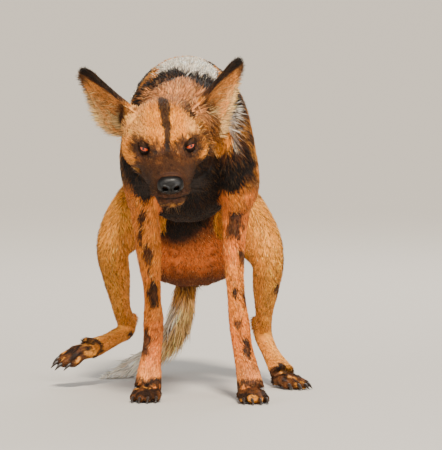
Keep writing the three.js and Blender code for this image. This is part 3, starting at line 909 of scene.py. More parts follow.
@dataclass
class Lie:
    """Where points of the skin lie on the dog, and which way the hair runs there.

    Attributes:
        region: The number of the region of each point.
        along: Share along that region's bend.
        angle: Angle round it, from up towards the dog's left.
        flow: The way the hair runs, in the surface.
    """

    region: Rows
    along: Rows
    angle: Rows
    flow: Rows

    @staticmethod
    def marks() -> tuple[Rows, ...]:
        """Marks along every guide.

        Returns:
            Their places, headings, sizes, shares along the guide and numbers of the guide.
        """
        made = []
        for number, (_, bend, count) in enumerate(GUIDES):
            t = (np.arange(count) + 0.5) / count
            way = bend.axes(t)[0] @ bend.matrix[:3, :3].T
            if bend in LEGS.values():
                way = unit(way + (np.array(HAUNCH_LIE) - way) * ramp(t, 0.45, 0.2)[:, None])
            size = np.maximum(SLIMMEST, spline(bend.rows[:, 3:6], t).mean(1))
            made.append((bend.world(bend.line(t)), way, size, t, np.full(count, number)))
        *values, guide = (np.concatenate(column) for column in zip(*made))
        return *(v.astype(np.float32) for v in values), guide

    @staticmethod
    def nearest(points: Rows) -> tuple[Rows, Rows, Rows]:
        """Weighs the marks against their distance, in batches.

        Args:
            points: Points of the skin in the dog's frame.

        Returns:
            For each point, the number of its guide, the share along it and the way of the hair.
        """
        middle, heading, size, share, guide = Lie.marks()
        owner = (guide[:, None] == np.arange(len(GUIDES))).astype(np.float32)
        count = len(points)
        flow, along, nearest = np.empty((count, 3)), np.empty(count), np.empty(count, int)
        for start in range(0, count, BATCH):
            p = points[start : start + BATCH].astype(np.float32)
            here = slice(start, start + len(p))
            square = (p**2).sum(1)[:, None] + (middle**2).sum(1) - 2 * p @ middle.T
            weight = (size**2 / np.maximum(square, 1)) ** 4
            flow[here] = weight @ heading
            nearest[here] = (weight @ owner).argmax(1)
            mine = weight * (guide == nearest[here, None])
            along[here] = (mine @ share) / mine.sum(1)
        return nearest, along, flow

    @staticmethod
    def combed(points: Rows, normals: Rows, hangs: Rows, flow: Rows) -> Rows:
        """Lets hair hang where the skin faces forward, and combs it down round the shoulders.

        Args:
            points: Points of the skin in the dog's frame.
            normals: Their normals.
            hangs: Whether they lie where hair hangs.
            flow: The way of the hair so far.

        Returns:
            The way of the hair, in the surface.
        """
        ahead = hangs * np.maximum(0, -normals[:, 1]) * ramp(normals[:, 2], 0.6, 0.1)
        way = np.zeros((len(points), 3))
        way[:, 0] = 0.6 * np.tanh((points[:, 0] + 8) / 30)
        way[:, 2] = -1.2
        flow = flow + ahead[:, None] * way
        for flip in SIDES.values():
            near = hangs * np.exp(-np.sum((points - SHOULDER * [flip, 1, 1]) ** 2, 1) / SHOULDER_REACH**2)
            flow += 3 * near[:, None] * [0.3 * flip, 0.3, -1.0]
        return unit(flow - normals * (flow * normals).sum(1, keepdims=True))

    @classmethod
    def read(cls, points: Rows, normals: Rows) -> "Lie":
        """Finds the part of the dog that each point lies on, and the way of its hair.

        Args:
            points: Points of the skin in the dog's frame.
            normals: Their normals.

        Returns:
            The place and lie of every point.
        """
        nearest, along, flow = cls.nearest(points)
        angle = np.zeros(len(points))
        for number, (kind, bend, _) in enumerate(GUIDES):
            if kind in EARS:
                t, _, off = on_ear(points, EARS[kind])
                here = (off < 8) & (t > 0.12) & (t < 1.05)
                nearest[here], along[here] = number, np.clip(t[here], 0, 1)
                flow[here] = bend.matrix[:3, 2]
        for number, (_, bend, _) in enumerate(GUIDES):
            here = nearest == number
            if here.any():
                _, left, up = bend.axes(along[here])
                away = moved(points[here], np.linalg.inv(bend.matrix)) - bend.line(along[here])
                angle[here] = np.arctan2((away * left).sum(1), (away * up).sum(1))
        region = np.array([GUIDES[g][0].value for g in nearest])
        hangs = np.isin(region, [r.value for r in HANGING])
        return cls(region, along, angle, cls.combed(points, normals, hangs, unit(flow)))

    def only(self, which: Rows) -> "Lie":
        """The lie at these numbers, or where a mask is true."""
        return Lie(*(value[which] for value in vars(self).values()))

    def within(self, *regions: Region) -> Rows:
        """Which points lie in one of the regions."""
        return np.isin(self.region, [r.value for r in regions])


@dataclass
class Skin:
    """The one skin that stands for all nodes of flesh.

    Attributes:
        voxel: Edge of the grid that fuses its forms, in mm.
        depth: How far it lies inside the solids under the body's coat, in mm.
        leg_depth: The same on the legs.
        fine_depth: The same on head, ears and feet.
        clear: Least height over the floor, in mm.
        most: Triangles that it may have.
    """

    voxel: float = 2.3
    depth: float = 2.0
    leg_depth: float = 1.1
    fine_depth: float = 0.8
    clear: float = 0.6
    most: int = 192000

    def forms(self) -> list[Piece]:
        """The overlapping closed forms of head, body, limbs and feet.

        Returns:
            The objects.
        """
        made = [
            tube("skull", SKULL, 56, 72),
            tube("jaw", JAW, 36, 48),
            tube("neck", NECK, 56, 40),
            tube("trunk", TRUNK, 72, 90),
            tube("tail", TAIL, 28, 80),
        ]
        made += [tube(f"leg_{name}", leg, 36, 80) for name, leg in LEGS.items()]
        made += [tube(f"bone_{i}", Bend(rows), 20, 12) for i, rows in enumerate(POINTS_OF_BONE)]
        for foot in FEET:
            made += [tube("toe", toe_bend(foot, *toe), 20, 24) for toe in TOES]
            made.append(tube("heel", Bend(HEEL_PAD, matrix=frame_at(*FEET[foot])), 24, 12))
        for number, (name, flip) in enumerate(SIDES.items()):
            made.append(tube(f"mound_{name}", Bend(EAR_MOUND, matrix=ear_matrix(flip)), 28, 20))
            heel = np.array(POINTS_OF_BONE[number][1][:3])
            calf = np.array(LEGS[f"hind_{name}"].stations[4][:3])
            strand = [[*heel, 6], [*((heel + calf) / 2 + [0, 6, 0]), 6.5], [*calf, 15]]
            made.append(tube("strand", Bend(strand), 16, 16))
        for root, way in teats():
            teat = [[*(root - 8 * way), 9], [*root, 8], [*(root + 4 * way), 5], [*(root + 9 * way), 4]]
            made.append(tube("teat", Bend(teat), 14, 12))
        return made

    def build(self) -> Piece:
        """Fuses the forms, evens them, shapes the face and thins the mesh where it is plain.

        Returns:
            The skin.
        """
        forms = self.forms()
        Mesh.alone(*forms)
        bpy.ops.object.join()
        skin = bpy.context.object
        skin.name = "skin"
        Mesh.apply(skin, "REMESH", mode="VOXEL", voxel_size=self.voxel * MM)
        points = Mesh.points(skin)
        fine = self.fine(points)
        edges = Mesh.rows(skin.data.edges, "vertices", 2, np.int32)
        points = Mesh.relax(points, edges, 10, 1 - 0.65 * fine)
        Mesh.place(skin, points)
        leg = ramp(points[:, 2], 300, 240) * (np.abs(points[:, 0] + 3) > 48)
        sunk = self.depth + (self.leg_depth - self.depth) * leg
        points -= Mesh.normals(skin) * (sunk + (self.fine_depth - sunk) * fine)[:, None]
        points[:, 2] = np.maximum(points[:, 2], self.clear)
        Mesh.place(skin, points)
        self.face(skin)
        Mesh.alone(skin, *(ear_form(flip) for flip in SIDES.values()))
        bpy.ops.object.join()
        self.thin(skin)
        return skin

    @staticmethod
    def fine(points: Rows) -> Rows:
        """1 on head, ears and feet, whose mesh stays fine, and 0 elsewhere.

        Args:
            points: Points in the dog's frame, in mm.

        Returns:
            One value for each point.
        """
        own = in_head(points)
        head = (own[:, 1] < 215) & (np.abs(own[:, 0]) < 190) & (own[:, 2] > -75)
        ears = (np.abs(own[:, 0]) > 84) & (own[:, 1] < 280) & (own[:, 2] > 30)
        feet = np.zeros(len(points), bool)
        for foot in FEET:
            feet |= np.linalg.norm(points - FEET[foot][0], axis=1) < 62
        return (head | ears | feet).astype(float)

    @staticmethod
    def split(skin: Piece, near: Rows) -> None:
        """Halves the edges between chosen vertices.

        Args:
            skin: The skin.
            near: Which vertices are chosen.
        """
        Mesh.alone(skin)
        skin.data.vertices.foreach_set("select", near)
        skin.data.edges.foreach_set("select", np.zeros(len(skin.data.edges), bool))
        skin.data.polygons.foreach_set("select", np.zeros(len(skin.data.polygons), bool))
        bpy.ops.object.mode_set(mode="EDIT")
        bpy.ops.mesh.select_mode(type="VERT")
        bpy.ops.mesh.subdivide(number_cuts=1)
        bpy.ops.object.mode_set(mode="OBJECT")

    def face(self, skin: Piece) -> None:
        """Shapes brow, cheeks, lips, lids and the seat of the nose on a finer mesh.

        Args:
            skin: The skin.
        """
        for reach, band in ((24, 9), (17, 5)):
            own = in_head(Mesh.points(skin))
            mirrored = np.stack([np.abs(own[:, 0]), own[:, 1], own[:, 2]], 1)
            eyes = np.linalg.norm(mirrored - EYE_CENTRE, axis=1)
            lips = (np.abs(off_line(own[:, 1:], MOUTH_LINE)) < band) & (own[:, 1] < 100)
            self.split(skin, (eyes < reach) | (lips & (np.abs(own[:, 0]) < 70)))
        own = in_head(Mesh.points(skin))
        head = ramp(own[:, 1], 235, 190) * (np.abs(own[:, 0]) < 90) * (np.abs(own[:, 2]) < 100)
        own = lay_over(own, face_forms(own), head)
        off = off_line(own[:, 1:], MOUTH_LINE)
        near_lips = head * ramp(own[:, 1], 99, 88)
        push = -1.4 * np.exp(-((off / 1.0) ** 2)) + 1.6 * np.exp(-(((off - 3.5) / 3.4) ** 2))
        push -= 2.6 * ramp(off, 1.0, -2.0) * ramp(off, -20, -9)
        outward = unit(np.stack([own[:, 0], np.minimum(own[:, 1] - 26, 0), np.zeros(len(own))], 1))
        own += outward * (near_lips * push)[:, None]
        seat = ramp(own[:, 1], 17, 11) * ramp(own[:, 2], -20, -16) * head
        own[:, 0] *= 1 - 0.16 * seat
        own[:, 2] -= 0.14 * seat * (own[:, 2] + 2)
        own[:, 1] += 3.5 * seat
        points = moved(own, HEAD)
        for flip in SIDES.values():
            points = self.lids(points, flip)
        Mesh.place(skin, points)

    @staticmethod
    def lids(points: Rows, flip: int) -> Rows:
        """Wraps the lids round one eye and opens them.

        Args:
            points: Points in the dog's frame, in mm.
            flip: 1 for the left side and -1 for the right.

        Returns:
            The moved points.
        """
        matrix = eye_matrix(flip)
        own = moved(points, np.linalg.inv(matrix))
        side, out, up = own[:, 0] * flip, -own[:, 1], own[:, 2]
        round_ball = np.hypot(side, up)
        here = (out > -4) & (np.linalg.norm(own, axis=1) < 30)
        open_share = ramp(almond(side, up), -0.4, 0.4)
        lid = EYE_RADIUS + 1.2 - 0.3 * ramp(almond(side, up), -2.5, 0)
        radius = lid + (EYE_RADIUS - 3 - lid) * open_share
        target = np.sqrt(np.maximum(radius**2 - round_ball**2, 1))
        fold = almond(side, up) + 4.2
        target -= 0.6 * np.exp(-((fold / 1.3) ** 2)) * (1 - open_share)
        share = here * ramp(round_ball, 17, 9.5)
        moved_out = out + share * (target - out)
        brow = here * np.exp(-(((side - 1) / 14) ** 2) - ((up - 11.5) / 5.5) ** 2)
        moved_out = moved_out + 4.0 * brow
        result = own.copy()
        result[:, 1] = -moved_out
        return moved(result, matrix)

    def thin(self, skin: Piece) -> None:
        """Takes triangles away where the form is plain, and unwraps what is left.

        Args:
            skin: The skin.
        """
        keep = self.fine(Mesh.points(skin))
        Mesh.apply(skin, "TRIANGULATE")
        group = skin.vertex_groups.new(name="keep")
        for share in (0, 1):
            group.add(np.flatnonzero(keep == share).tolist(), float(share), "REPLACE")
        ratio = self.most / len(skin.data.polygons)
        if ratio < 1:
            plain = {"vertex_group": "keep", "invert_vertex_group": True, "vertex_group_factor": 2}
            Mesh.apply(skin, "DECIMATE", ratio=ratio, **plain)
        skin.vertex_groups.clear()
        Mesh.alone(skin)
        bpy.ops.object.mode_set(mode="EDIT")
        bpy.ops.mesh.select_all(action="SELECT")
        bpy.ops.uv.smart_project(angle_limit=math.radians(66), island_margin=0.001)
        bpy.ops.object.mode_set(mode="OBJECT")
        skin.data.uv_layers[0].name = "OFBake"


# Spots seen from the front: left, up, half width and half height in mm.
SPOTS_IN_FRONT = (
    (77, 309, 13, 16, "brown"),
    (78, 326, 14, 5, "black"),
    (77, 291, 10, 4, "black"),
    (86, 253, 7, 15, "brown"),
    (77, 192, 5, 9, "black"),
    (91, 181, 4, 12, "brown"),
    (86, 137, 7, 9, "brown"),
    (98, 92, 7, 18, "black"),
    (-84, 323, 6, 10, "black"),
    (-87, 295, 5, 13, "black"),
    (-74, 259, 6.5, 15, "brown"),
    (-73, 230, 2.5, 4, "black"),
    (-67, 188, 7, 24, "black"),
    (-78, 102, 7, 26, "brown"),
    (154, 195, 5, 12, "brown"),
    (160, 57, 5, 4, "brown"),
    (-104, 109, 9, 6, "black"),
)


@dataclass
class Canvas:
    """Points of the skin while their colours are laid on.

    Attributes:
        points: Points of the skin in the dog's frame.
        normals: Their normals.
        lie: Where they lie.
        tones: The linear colours by name.
    """

    points: Rows
    normals: Rows
    lie: Lie
    tones: dict[str, Rows]

    def __post_init__(self) -> None:
        """Starts all tan, and reads the noise that several markings share."""
        sway = np.stack([noise(self.points, 26, 11 + i, 2) for i in range(3)], 1)
        self.swayed = self.points + 7 * sway
        self.fine = noise(self.points, 5, 31, 2)
        self.brindle = noise(self.swayed * [1, 1, 0.45], 17, 19, 2) + 0.3 * self.fine
        self.out = np.tile(self.tones["tan"], (len(self.points), 1))

    def lay(self, name: str, mask: Rows) -> None:
        """Lays a colour over what is there."""
        self.out = lay_over(self.out, self.tones[name], mask)

    def paint(self) -> Rows:
        """Lays every marking.

        Returns:
            The finished linear colours, one row for each point.
        """
        for marking in (self.body, self.legs, self.tail, self.head, self.ears):
            marking()
        grain = 1 + 0.3 * noise(self.points, 10, 71, 2) + 0.4 * self.fine
        return np.clip(self.out * grain[:, None], DARKEST, 1)

    def body(self) -> None:
        """Neck, flanks, back, chest and belly."""
        points, normals, lie, p, fine, brindle, lay = (
            self.points, self.normals, self.lie, self.swayed, self.fine, self.brindle, self.lay
        )
        body = lie.within(Region.NECK, Region.TRUNK)
        x, y, z = p.T
        rough = 0.12 * fine
        patch = noise(p, 74, 3, 2) + rough
        lay("black", body * ramp(patch, -0.2, -0.08))
        lay("brown", body * ramp(noise(p, 40, 5, 2) + rough, 0.3, 0.45) * 0.7)
        lay("ochre", body * ramp(noise(p, 66, 9, 2) + rough, 0.18, 0.3))
        lay("white", body * ramp(noise(p, 58, 17, 2) + rough, 0.34, 0.42))
        # Nape, then a black band over the withers, then the white saddle.
        top = body * ramp(z, 500, 530)
        arch = z + 0.011 * (x + 22) ** 2 + 5 * fine
        front = ramp(y, 70, 50)
        nape = body * front * ramp(z, 480, 510) * ramp(np.abs(x + 18), 74, 60)
        lay("rose", nape * ramp(arch, 564, 556))
        lay("black", body * front * ramp(arch, 556, 564))
        saddle = np.hypot((x + 10) / 58, (y - 92) / 66)
        lay("white", top * ramp(saddle + 0.25 * fine, 1.06, 0.94) * ramp(arch, 570, 580))
        # Left shoulder: a tan patch with a white streak beside it, set in black.
        front = body * (x > 20) * ramp(y, 70, 40)
        lay("black", front * ramp(z, 350, 400) * ramp(x, 30, 45) * 0.9)
        lay("tan", front * ramp(np.hypot((x - 50) / 19, (z - 466) / 36), 1.1, 0.9))
        lay("white", front * ramp(np.hypot((x - 74) / 5, (z - 482) / 34), 1.3, 0.9))
        lay("ochre", body * (x > 0) * ramp(np.hypot((z - 452) / 50, (y - 60) / 26), 1.1, 0.85))
        lay("black", body * (x < 0) * ramp(y, 40, 10) * ramp(z, 540, 500))
        lay("brown", body * ramp(y, 130, 40) * ramp(z, 520, 480) * ramp(brindle, -0.3, 0.1) * 0.85)
        lay("ochre", body * ramp(y, 60, 20) * ramp(z, 480, 450) * ramp(brindle, 0.3, 0.5) * 0.4)
        lay("ochre", front * ramp(x, 62, 80) * ramp(brindle, 0.22, 0.4) * ramp(z, 480, 440) * 0.7)
        flank = body * ramp(x, 78, 92) * ramp(y, 240, 200) * ramp(z, 520, 490)
        lay("brown", flank * ramp(brindle, -0.25, 0.0) * 0.9)
        lay("ochre", flank * ramp(brindle, 0.05, 0.3) * 0.75)
        right = body * (x < -40) * ramp(y, 80, 40) * ramp(z, 480, 440)
        lay("ochre", right * ramp(brindle, 0.1, 0.3) * 0.6)
        # Black breast, and the thin rust hair of the belly and groin, with painted shade on the belly and
        # painted shadow below the breast.
        lay("black", body * ramp(z, 440, 405) * ramp(y, 170, 130))
        rear = body * ramp(z, 372, 335) * ramp(y, 250, 290)
        lay("ochre", rear)
        lay("brown", rear * ramp(noise(p, 46, 21, 2), 0.2, 0.34) * 0.8)
        under = body * ramp(z, 352, 320) * ramp(y, 150, 185) * ramp(np.abs(x + 3), 92, 74)
        under = under * ramp(normals[:, 1], 0.12, -0.12)
        lay("rust", under)
        # Painted shade: the rust belly is darkened with brown towards its lower edge and upwards towards the
        # chest.
        lay("brown", under * ramp(z, 226, 182) * 0.8)
        lay("brown", under * ramp(z - 0.01 * (x + 10) ** 2 + 12 * fine, 222, 262) * 0.75)
        # Black reaching down between the forelegs where the skin faces forward: partly black fur, partly
        # painted shadow of head and chest on the belly.
        fur_and_shadow_bowl = z - 0.016 * (x + 22) ** 2 + 6 * fine
        lay("black", body * ramp(fur_and_shadow_bowl, 240, 262) * ramp(normals[:, 1], 0.3, 0.0) * ramp(z, 372, 340))
        for root, way in teats():
            lay("brown", body * ramp(np.linalg.norm(points - root - 6 * way, axis=1), 10, 6) * 0.25)

    def legs(self) -> None:
        """Legs with their spots, and the dark paws."""
        points, normals, lie, p, fine, brindle, lay = (
            self.points, self.normals, self.lie, self.swayed, self.fine, self.brindle, self.lay
        )
        height = points[:, 2]
        fore = lie.within(Region.FORE_LEFT, Region.FORE_RIGHT)
        hind = lie.within(Region.HIND_LEFT, Region.HIND_RIGHT)
        outward = np.sign(points[:, 0] + 3) * normals[:, 0]
        low = ramp(height, 400, 360)
        lay("tan", fore * low)
        lay("rose", fore * low * 0.15 * ramp(noise(points, 30, 41), -0.2, 0.5))
        lay("rust", fore * low * (0.42 + 0.42 * ramp(noise(p, 46, 42, 2) + 0.15 * fine, -0.1, 0.4)))
        lay("pale", fore * 0.2 * ramp(height, 84, 48))
        lay("pale", hind * 0.12 * ramp(noise(p, 60, 44, 2), 0.0, 0.5))
        lay("black", fore * (1 - low) * ramp(noise(p, 60, 43, 2) + 0.1 * fine, -0.15, 0.0))
        upper = fore * (1 - low)
        lay("brown", upper * ramp(brindle, -0.25, 0.05) * 0.85)
        lay("ochre", upper * ramp(brindle, 0.08, 0.32) * 0.7)
        lay("rust", fore * ramp(height, 190, 90) * 0.35)
        lay("brown", fore * ramp(height, 190, 90) * ramp(noise(p, 24, 46, 2), -0.2, 0.4) * 0.3)
        lay("ochre", hind)
        lay("rust", hind * ramp(outward, 0.1, -0.6) * 0.35)
        lay("black", hind * ramp(height, 330, 372) * ramp(noise(p, 56, 45, 2), -0.05, 0.06))
        back = ramp(normals[:, 1], -0.1, 0.35)
        spots = noise(p, 27, 47, 2) + 0.1 * fine
        lay("brown", fore * low * back * ramp(spots, 0.22, 0.34))
        lay("black", fore * low * back * ramp(spots, 0.36, 0.48) * 0.8)
        lay("brown", hind * back * ramp(noise(p, 44, 49, 2) + 0.1 * fine, 0.3, 0.42) * 0.85)
        lay("black", hind * ramp(outward, 0.86, 0.97) * ramp(noise(p, 40, 51), -0.3, 0.2) * 0.7)
        facing = ramp(normals[:, 1], 0.45, 0.1)
        here = height + 0.07 * points[:, 1] + 6 * noise(points, 11, 53, 2)
        across = p[:, 0] + 3.5 * noise(points, 9, 54, 2)
        for left, up, wide, high, name in SPOTS_IN_FRONT:
            far = np.hypot((across - left) / wide, (here - up) / high) + 0.16 * fine
            lay("brown", (fore | hind) * facing * ramp(far, 1.3, 1.05) * 0.8)
            lay(name, (fore | hind) * facing * ramp(far, 1.1, 0.9) * (0.9 - 0.4 * ramp(far, 0.6, 0.2)))
        paw = lie.within(Region.PAW)
        heel = (fore & (height < 42)) | (hind & (lie.along > 0.93))
        patch = ramp(noise(p, 15, 55, 2) + 0.2 * fine, -0.25, 0.15)
        lay("brown", np.maximum(paw, heel * patch) * 0.95)
        lay("black", np.maximum(paw, heel) * ramp(noise(p, 12, 57, 2) + 0.2 * fine, -0.1, 0.2) * 0.9)
        lay("ochre", paw * ramp(noise(p, 14, 59, 2) + 0.2 * fine, 0.24, 0.42) * 0.8)

    def tail(self) -> None:
        """Black root, tan brush with dark streaks, white tip."""
        lie, p, fine, lay = self.lie, self.swayed, self.fine, self.lay
        tail = lie.within(Region.TAIL)
        t = lie.along + 0.03 * fine
        lay("ochre", tail)
        lay("black", tail * ramp(t, 0.14, 0.2) * ramp(t, 0.36, 0.28))
        lay("pale", tail * ramp(t, 0.32, 0.42) * 0.7)
        lay("white", tail * ramp(np.sin(lie.angle), 0.1, -0.5) * ramp(t, 0.34, 0.44) * 0.7)
        lay("brown", tail * ramp(noise(p, 13, 61, 2), 0.25, 0.4) * ramp(t, 0.7, 0.6) * 0.45)
        lay("white", tail * ramp(t, 0.6, 0.66))

    def head(self) -> None:
        """Grizzled muzzle, eye patches and the stripe of the forehead, in the head's own frame."""
        points, lie, fine, lay = self.points, self.lie, self.fine, self.lay
        head = lie.within(Region.HEAD)
        own = in_head(points)
        x, y, z = own.T
        aside = np.abs(x)
        grit = noise(points, 2.4, 91, 2)
        rise = 0.5 * y + 0.866 * z + 5 * noise(points, 16, 81, 2) + 4 * fine
        lay("rose", head * ramp(y, 150, 200) * 0.6)
        lay("pale", head * ramp(aside, 26, 46) * ramp(rise, 76, 96) * 0.3)
        edge = np.interp(aside, [0, 8, 14, 20, 30, 40, 52, 62, 72], [88, 76, 62, 58, 68, 70, 60, 36, 14])
        speck = 15 * grit
        lay("brown", head * ramp(rise + speck, edge + 4, edge - 10) * 0.9)
        lay("black", head * ramp(rise + speck, edge - 4, edge - 34) * 0.78)
        lay("brown", head * ramp(y, 74, 56) * ramp(z, -16, 4) * 0.4)
        chin = ramp(y, 60, 30) * ramp(z, -34, -40)
        lay("brown", head * ramp(y, 60, 30) * ramp(z, -14, -22) * 0.7)
        lay("ochre", head * chin * ramp(grit, -0.2, 0.4) * 0.45)
        lips = np.abs(off_line(own[:, 1:], MOUTH_LINE)) + 1.2 * grit
        lay("black", head * ramp(lips, 3.4, 1.2) * ramp(y, 100, 92) * 0.9)
        eye = np.stack([aside - EYE_CENTRE[0] - 1, y - EYE_CENTRE[1] + 8, z - EYE_CENTRE[2] + 1], 1)
        far = np.sqrt(((eye / [32, 38, 21]) ** 2).sum(1)) + 0.25 * fine + 0.3 * grit
        lay("brown", head * ramp(far, 1.2, 0.9) * 0.9)
        lay("black", head * ramp(far, 0.9, 0.5) * 0.85)
        wide = np.interp(y, [80, 105, 150, 196], [4.5, 6.5, 9.5, 10.5])
        stripe = ramp(np.abs(x + 3 * noise(points, 24, 83)) + 2.5 * fine, wide + 2, wide - 1)
        lay("black", head * stripe * ramp(y, 70, 84) * ramp(y + 5 * fine, 204, 196) * (z > 0) * 0.94)
        under = head * ramp(z, -26, -42) * ramp(y, 70, 105)
        lay("brown", under * 0.9)
        lay("black", under * ramp(noise(points, 15, 85, 2) + 0.4 * grit, -0.3, 0.2) * 0.85)
        ruddy = noise(points, 26, 87, 2) + 0.3 * grit
        cheek = head * ramp(z, -4, -22) * ramp(y, 110, 140) * ramp(aside, 40, 56)
        lay("ochre", cheek * ramp(ruddy, 0.1, 0.35) * 0.9)

    def ears(self) -> None:
        """Dark backs, tips and upper edges, rusty hollows with pale lower edges, and painted shade deep in
        each hollow towards its root.
        """
        points, normals, lie, fine, lay = self.points, self.normals, self.lie, self.fine, self.lay
        for region, flip in EARS.items():
            ear = lie.within(region)
            matrix = ear_matrix(flip)
            inward = ramp((normals @ matrix[:3, :3])[:, 1], 0.25, -0.1)
            t, low, _ = on_ear(points, flip)
            lay("brown", ear * (1 - inward) * ramp(t + 0.1 * fine, 0.1, 0.26))
            lay("black", ear * (1 - inward) * ramp(t + 0.1 * fine, 0.3, 0.5) * 0.8)
            lay("tan", ear * inward)
            lay("rose", ear * inward * 0.4)
            hairs = noise(points, 3.2, 63, 2)
            lay("brown", ear * inward * ramp(hairs + 0.5 * noise(points, 13, 65), 0.1, 0.5) * 0.6)
            # Painted shade: brown, then black, deep in the hollow towards the root of the ear.
            deep = ramp(t + 0.08 * fine, 0.5, 0.22) * ramp(np.abs(low - 0.1), 0.66, 0.3)
            lay("brown", ear * inward * deep * 0.95)
            lay("black", ear * inward * deep * ramp(t, 0.3, 0.16) * 0.6)
            edge = ear * ramp(low + 0.16 * fine, 0.5, 0.9) * ramp(t, 0.86, 0.7)
            lay("pale", edge * ramp(hairs, -0.4, 0.2) * 0.55)
            band = 0.86 - 0.86 * np.clip(t, 0, 1)
            lay("brown", ear * ramp(-low + 0.14 * fine, band - 0.14, band + 0.06) * ramp(t, 0.12, 0.3))
            lay("black", ear * ramp(-low + 0.14 * fine, band, band + 0.2) * ramp(t, 0.2, 0.4) * 0.85)
            lay("black", ear * ramp(t + 0.07 * fine, 0.8, 0.92) * 0.8)


@dataclass(frozen=True)
class Markings:
    """Colours of the coat, which skin and tufts share.

    Attributes:
        tan: Cheeks and forehead.
        pale: Fringes and light hairs.
        ochre: Hind legs.
        rose: Nape, where the hair is thin.
        rust: Bare belly.
        brown: Grizzled face and paws.
        black: Dark patches.
        white: Light patches and the tip of the tail.
    """

    tan: str = "F19029"
    pale: str = "F5C883"
    ochre: str = "F09B35"
    rose: str = "DC9055"
    rust: str = "E67429"
    brown: str = "4A2610"
    black: str = "120A06"
    white: str = "F8EAD6"

    def colour(self, points: Rows, normals: Rows, lie: Lie) -> Rows:
        """The coat's colour at points of the skin.

        Args:
            points: Points of the skin in the dog's frame.
            normals: Their normals.
            lie: Where they lie.

        Returns:
            Linear colours, one row for each point.
        """
        tones = {name: linear(code) for name, code in vars(self).items()}
        return Canvas(points, normals, lie, tones).paint()


def write_colour(piece: Piece, colours: Rows) -> None:
    """Stores linear colours, one for each vertex, as the attribute `coat`.

    Args:
        piece: The object.
        colours: One row for each vertex.
    """
    layer = piece.data.color_attributes.new("coat", "FLOAT_COLOR", "POINT")
    full = np.ones((len(colours), 4), np.float32)
    full[:, :3] = colours
    layer.data.foreach_set("color", full.ravel())


@dataclass
class Surface:
    """The skin read as arrays, in millimetres of the dog's frame.

    Attributes:
        points: Vertices.
        normals: Their normals.
        corners: Vertex numbers of each triangle.
        uvs: Unwrapped place of each triangle's corners.
        lie: Where the vertices lie and how the hair runs.
    """

    points: Rows
    normals: Rows
    corners: Rows
    uvs: Rows
    lie: Lie

    @classmethod
    def read(cls, skin: Piece) -> "Surface":
        """Reads a skin that is made of triangles.

        Args:
            skin: The skin.

        Returns:
            The surface.
        """
        points, normals = Mesh.points(skin), Mesh.normals(skin)
        corners = Mesh.rows(skin.data.loops, "vertex_index", 1, np.int32).reshape(-1, 3)
        uvs = Mesh.rows(skin.data.uv_layers["OFBake"].data, "uv", 2).reshape(-1, 3, 2)
        return cls(points, normals, corners, uvs, Lie.read(points, normals))

    def areas(self) -> Rows:
        """The area of each triangle in square mm."""
        a, b, c = (self.points[self.corners[:, i]] for i in range(3))
        return np.linalg.norm(np.cross(b - a, c - a), axis=1) / 2


# Least height of hair over the floor, in mm, and how far a tuft spreads on the unwrap.
HAIR_CLEAR = 0.3
UV_SPREAD = 0.0015
# A short tuft is a spindle with one ring of three corners.
SHORT_TUFT_TRIANGLES = 6


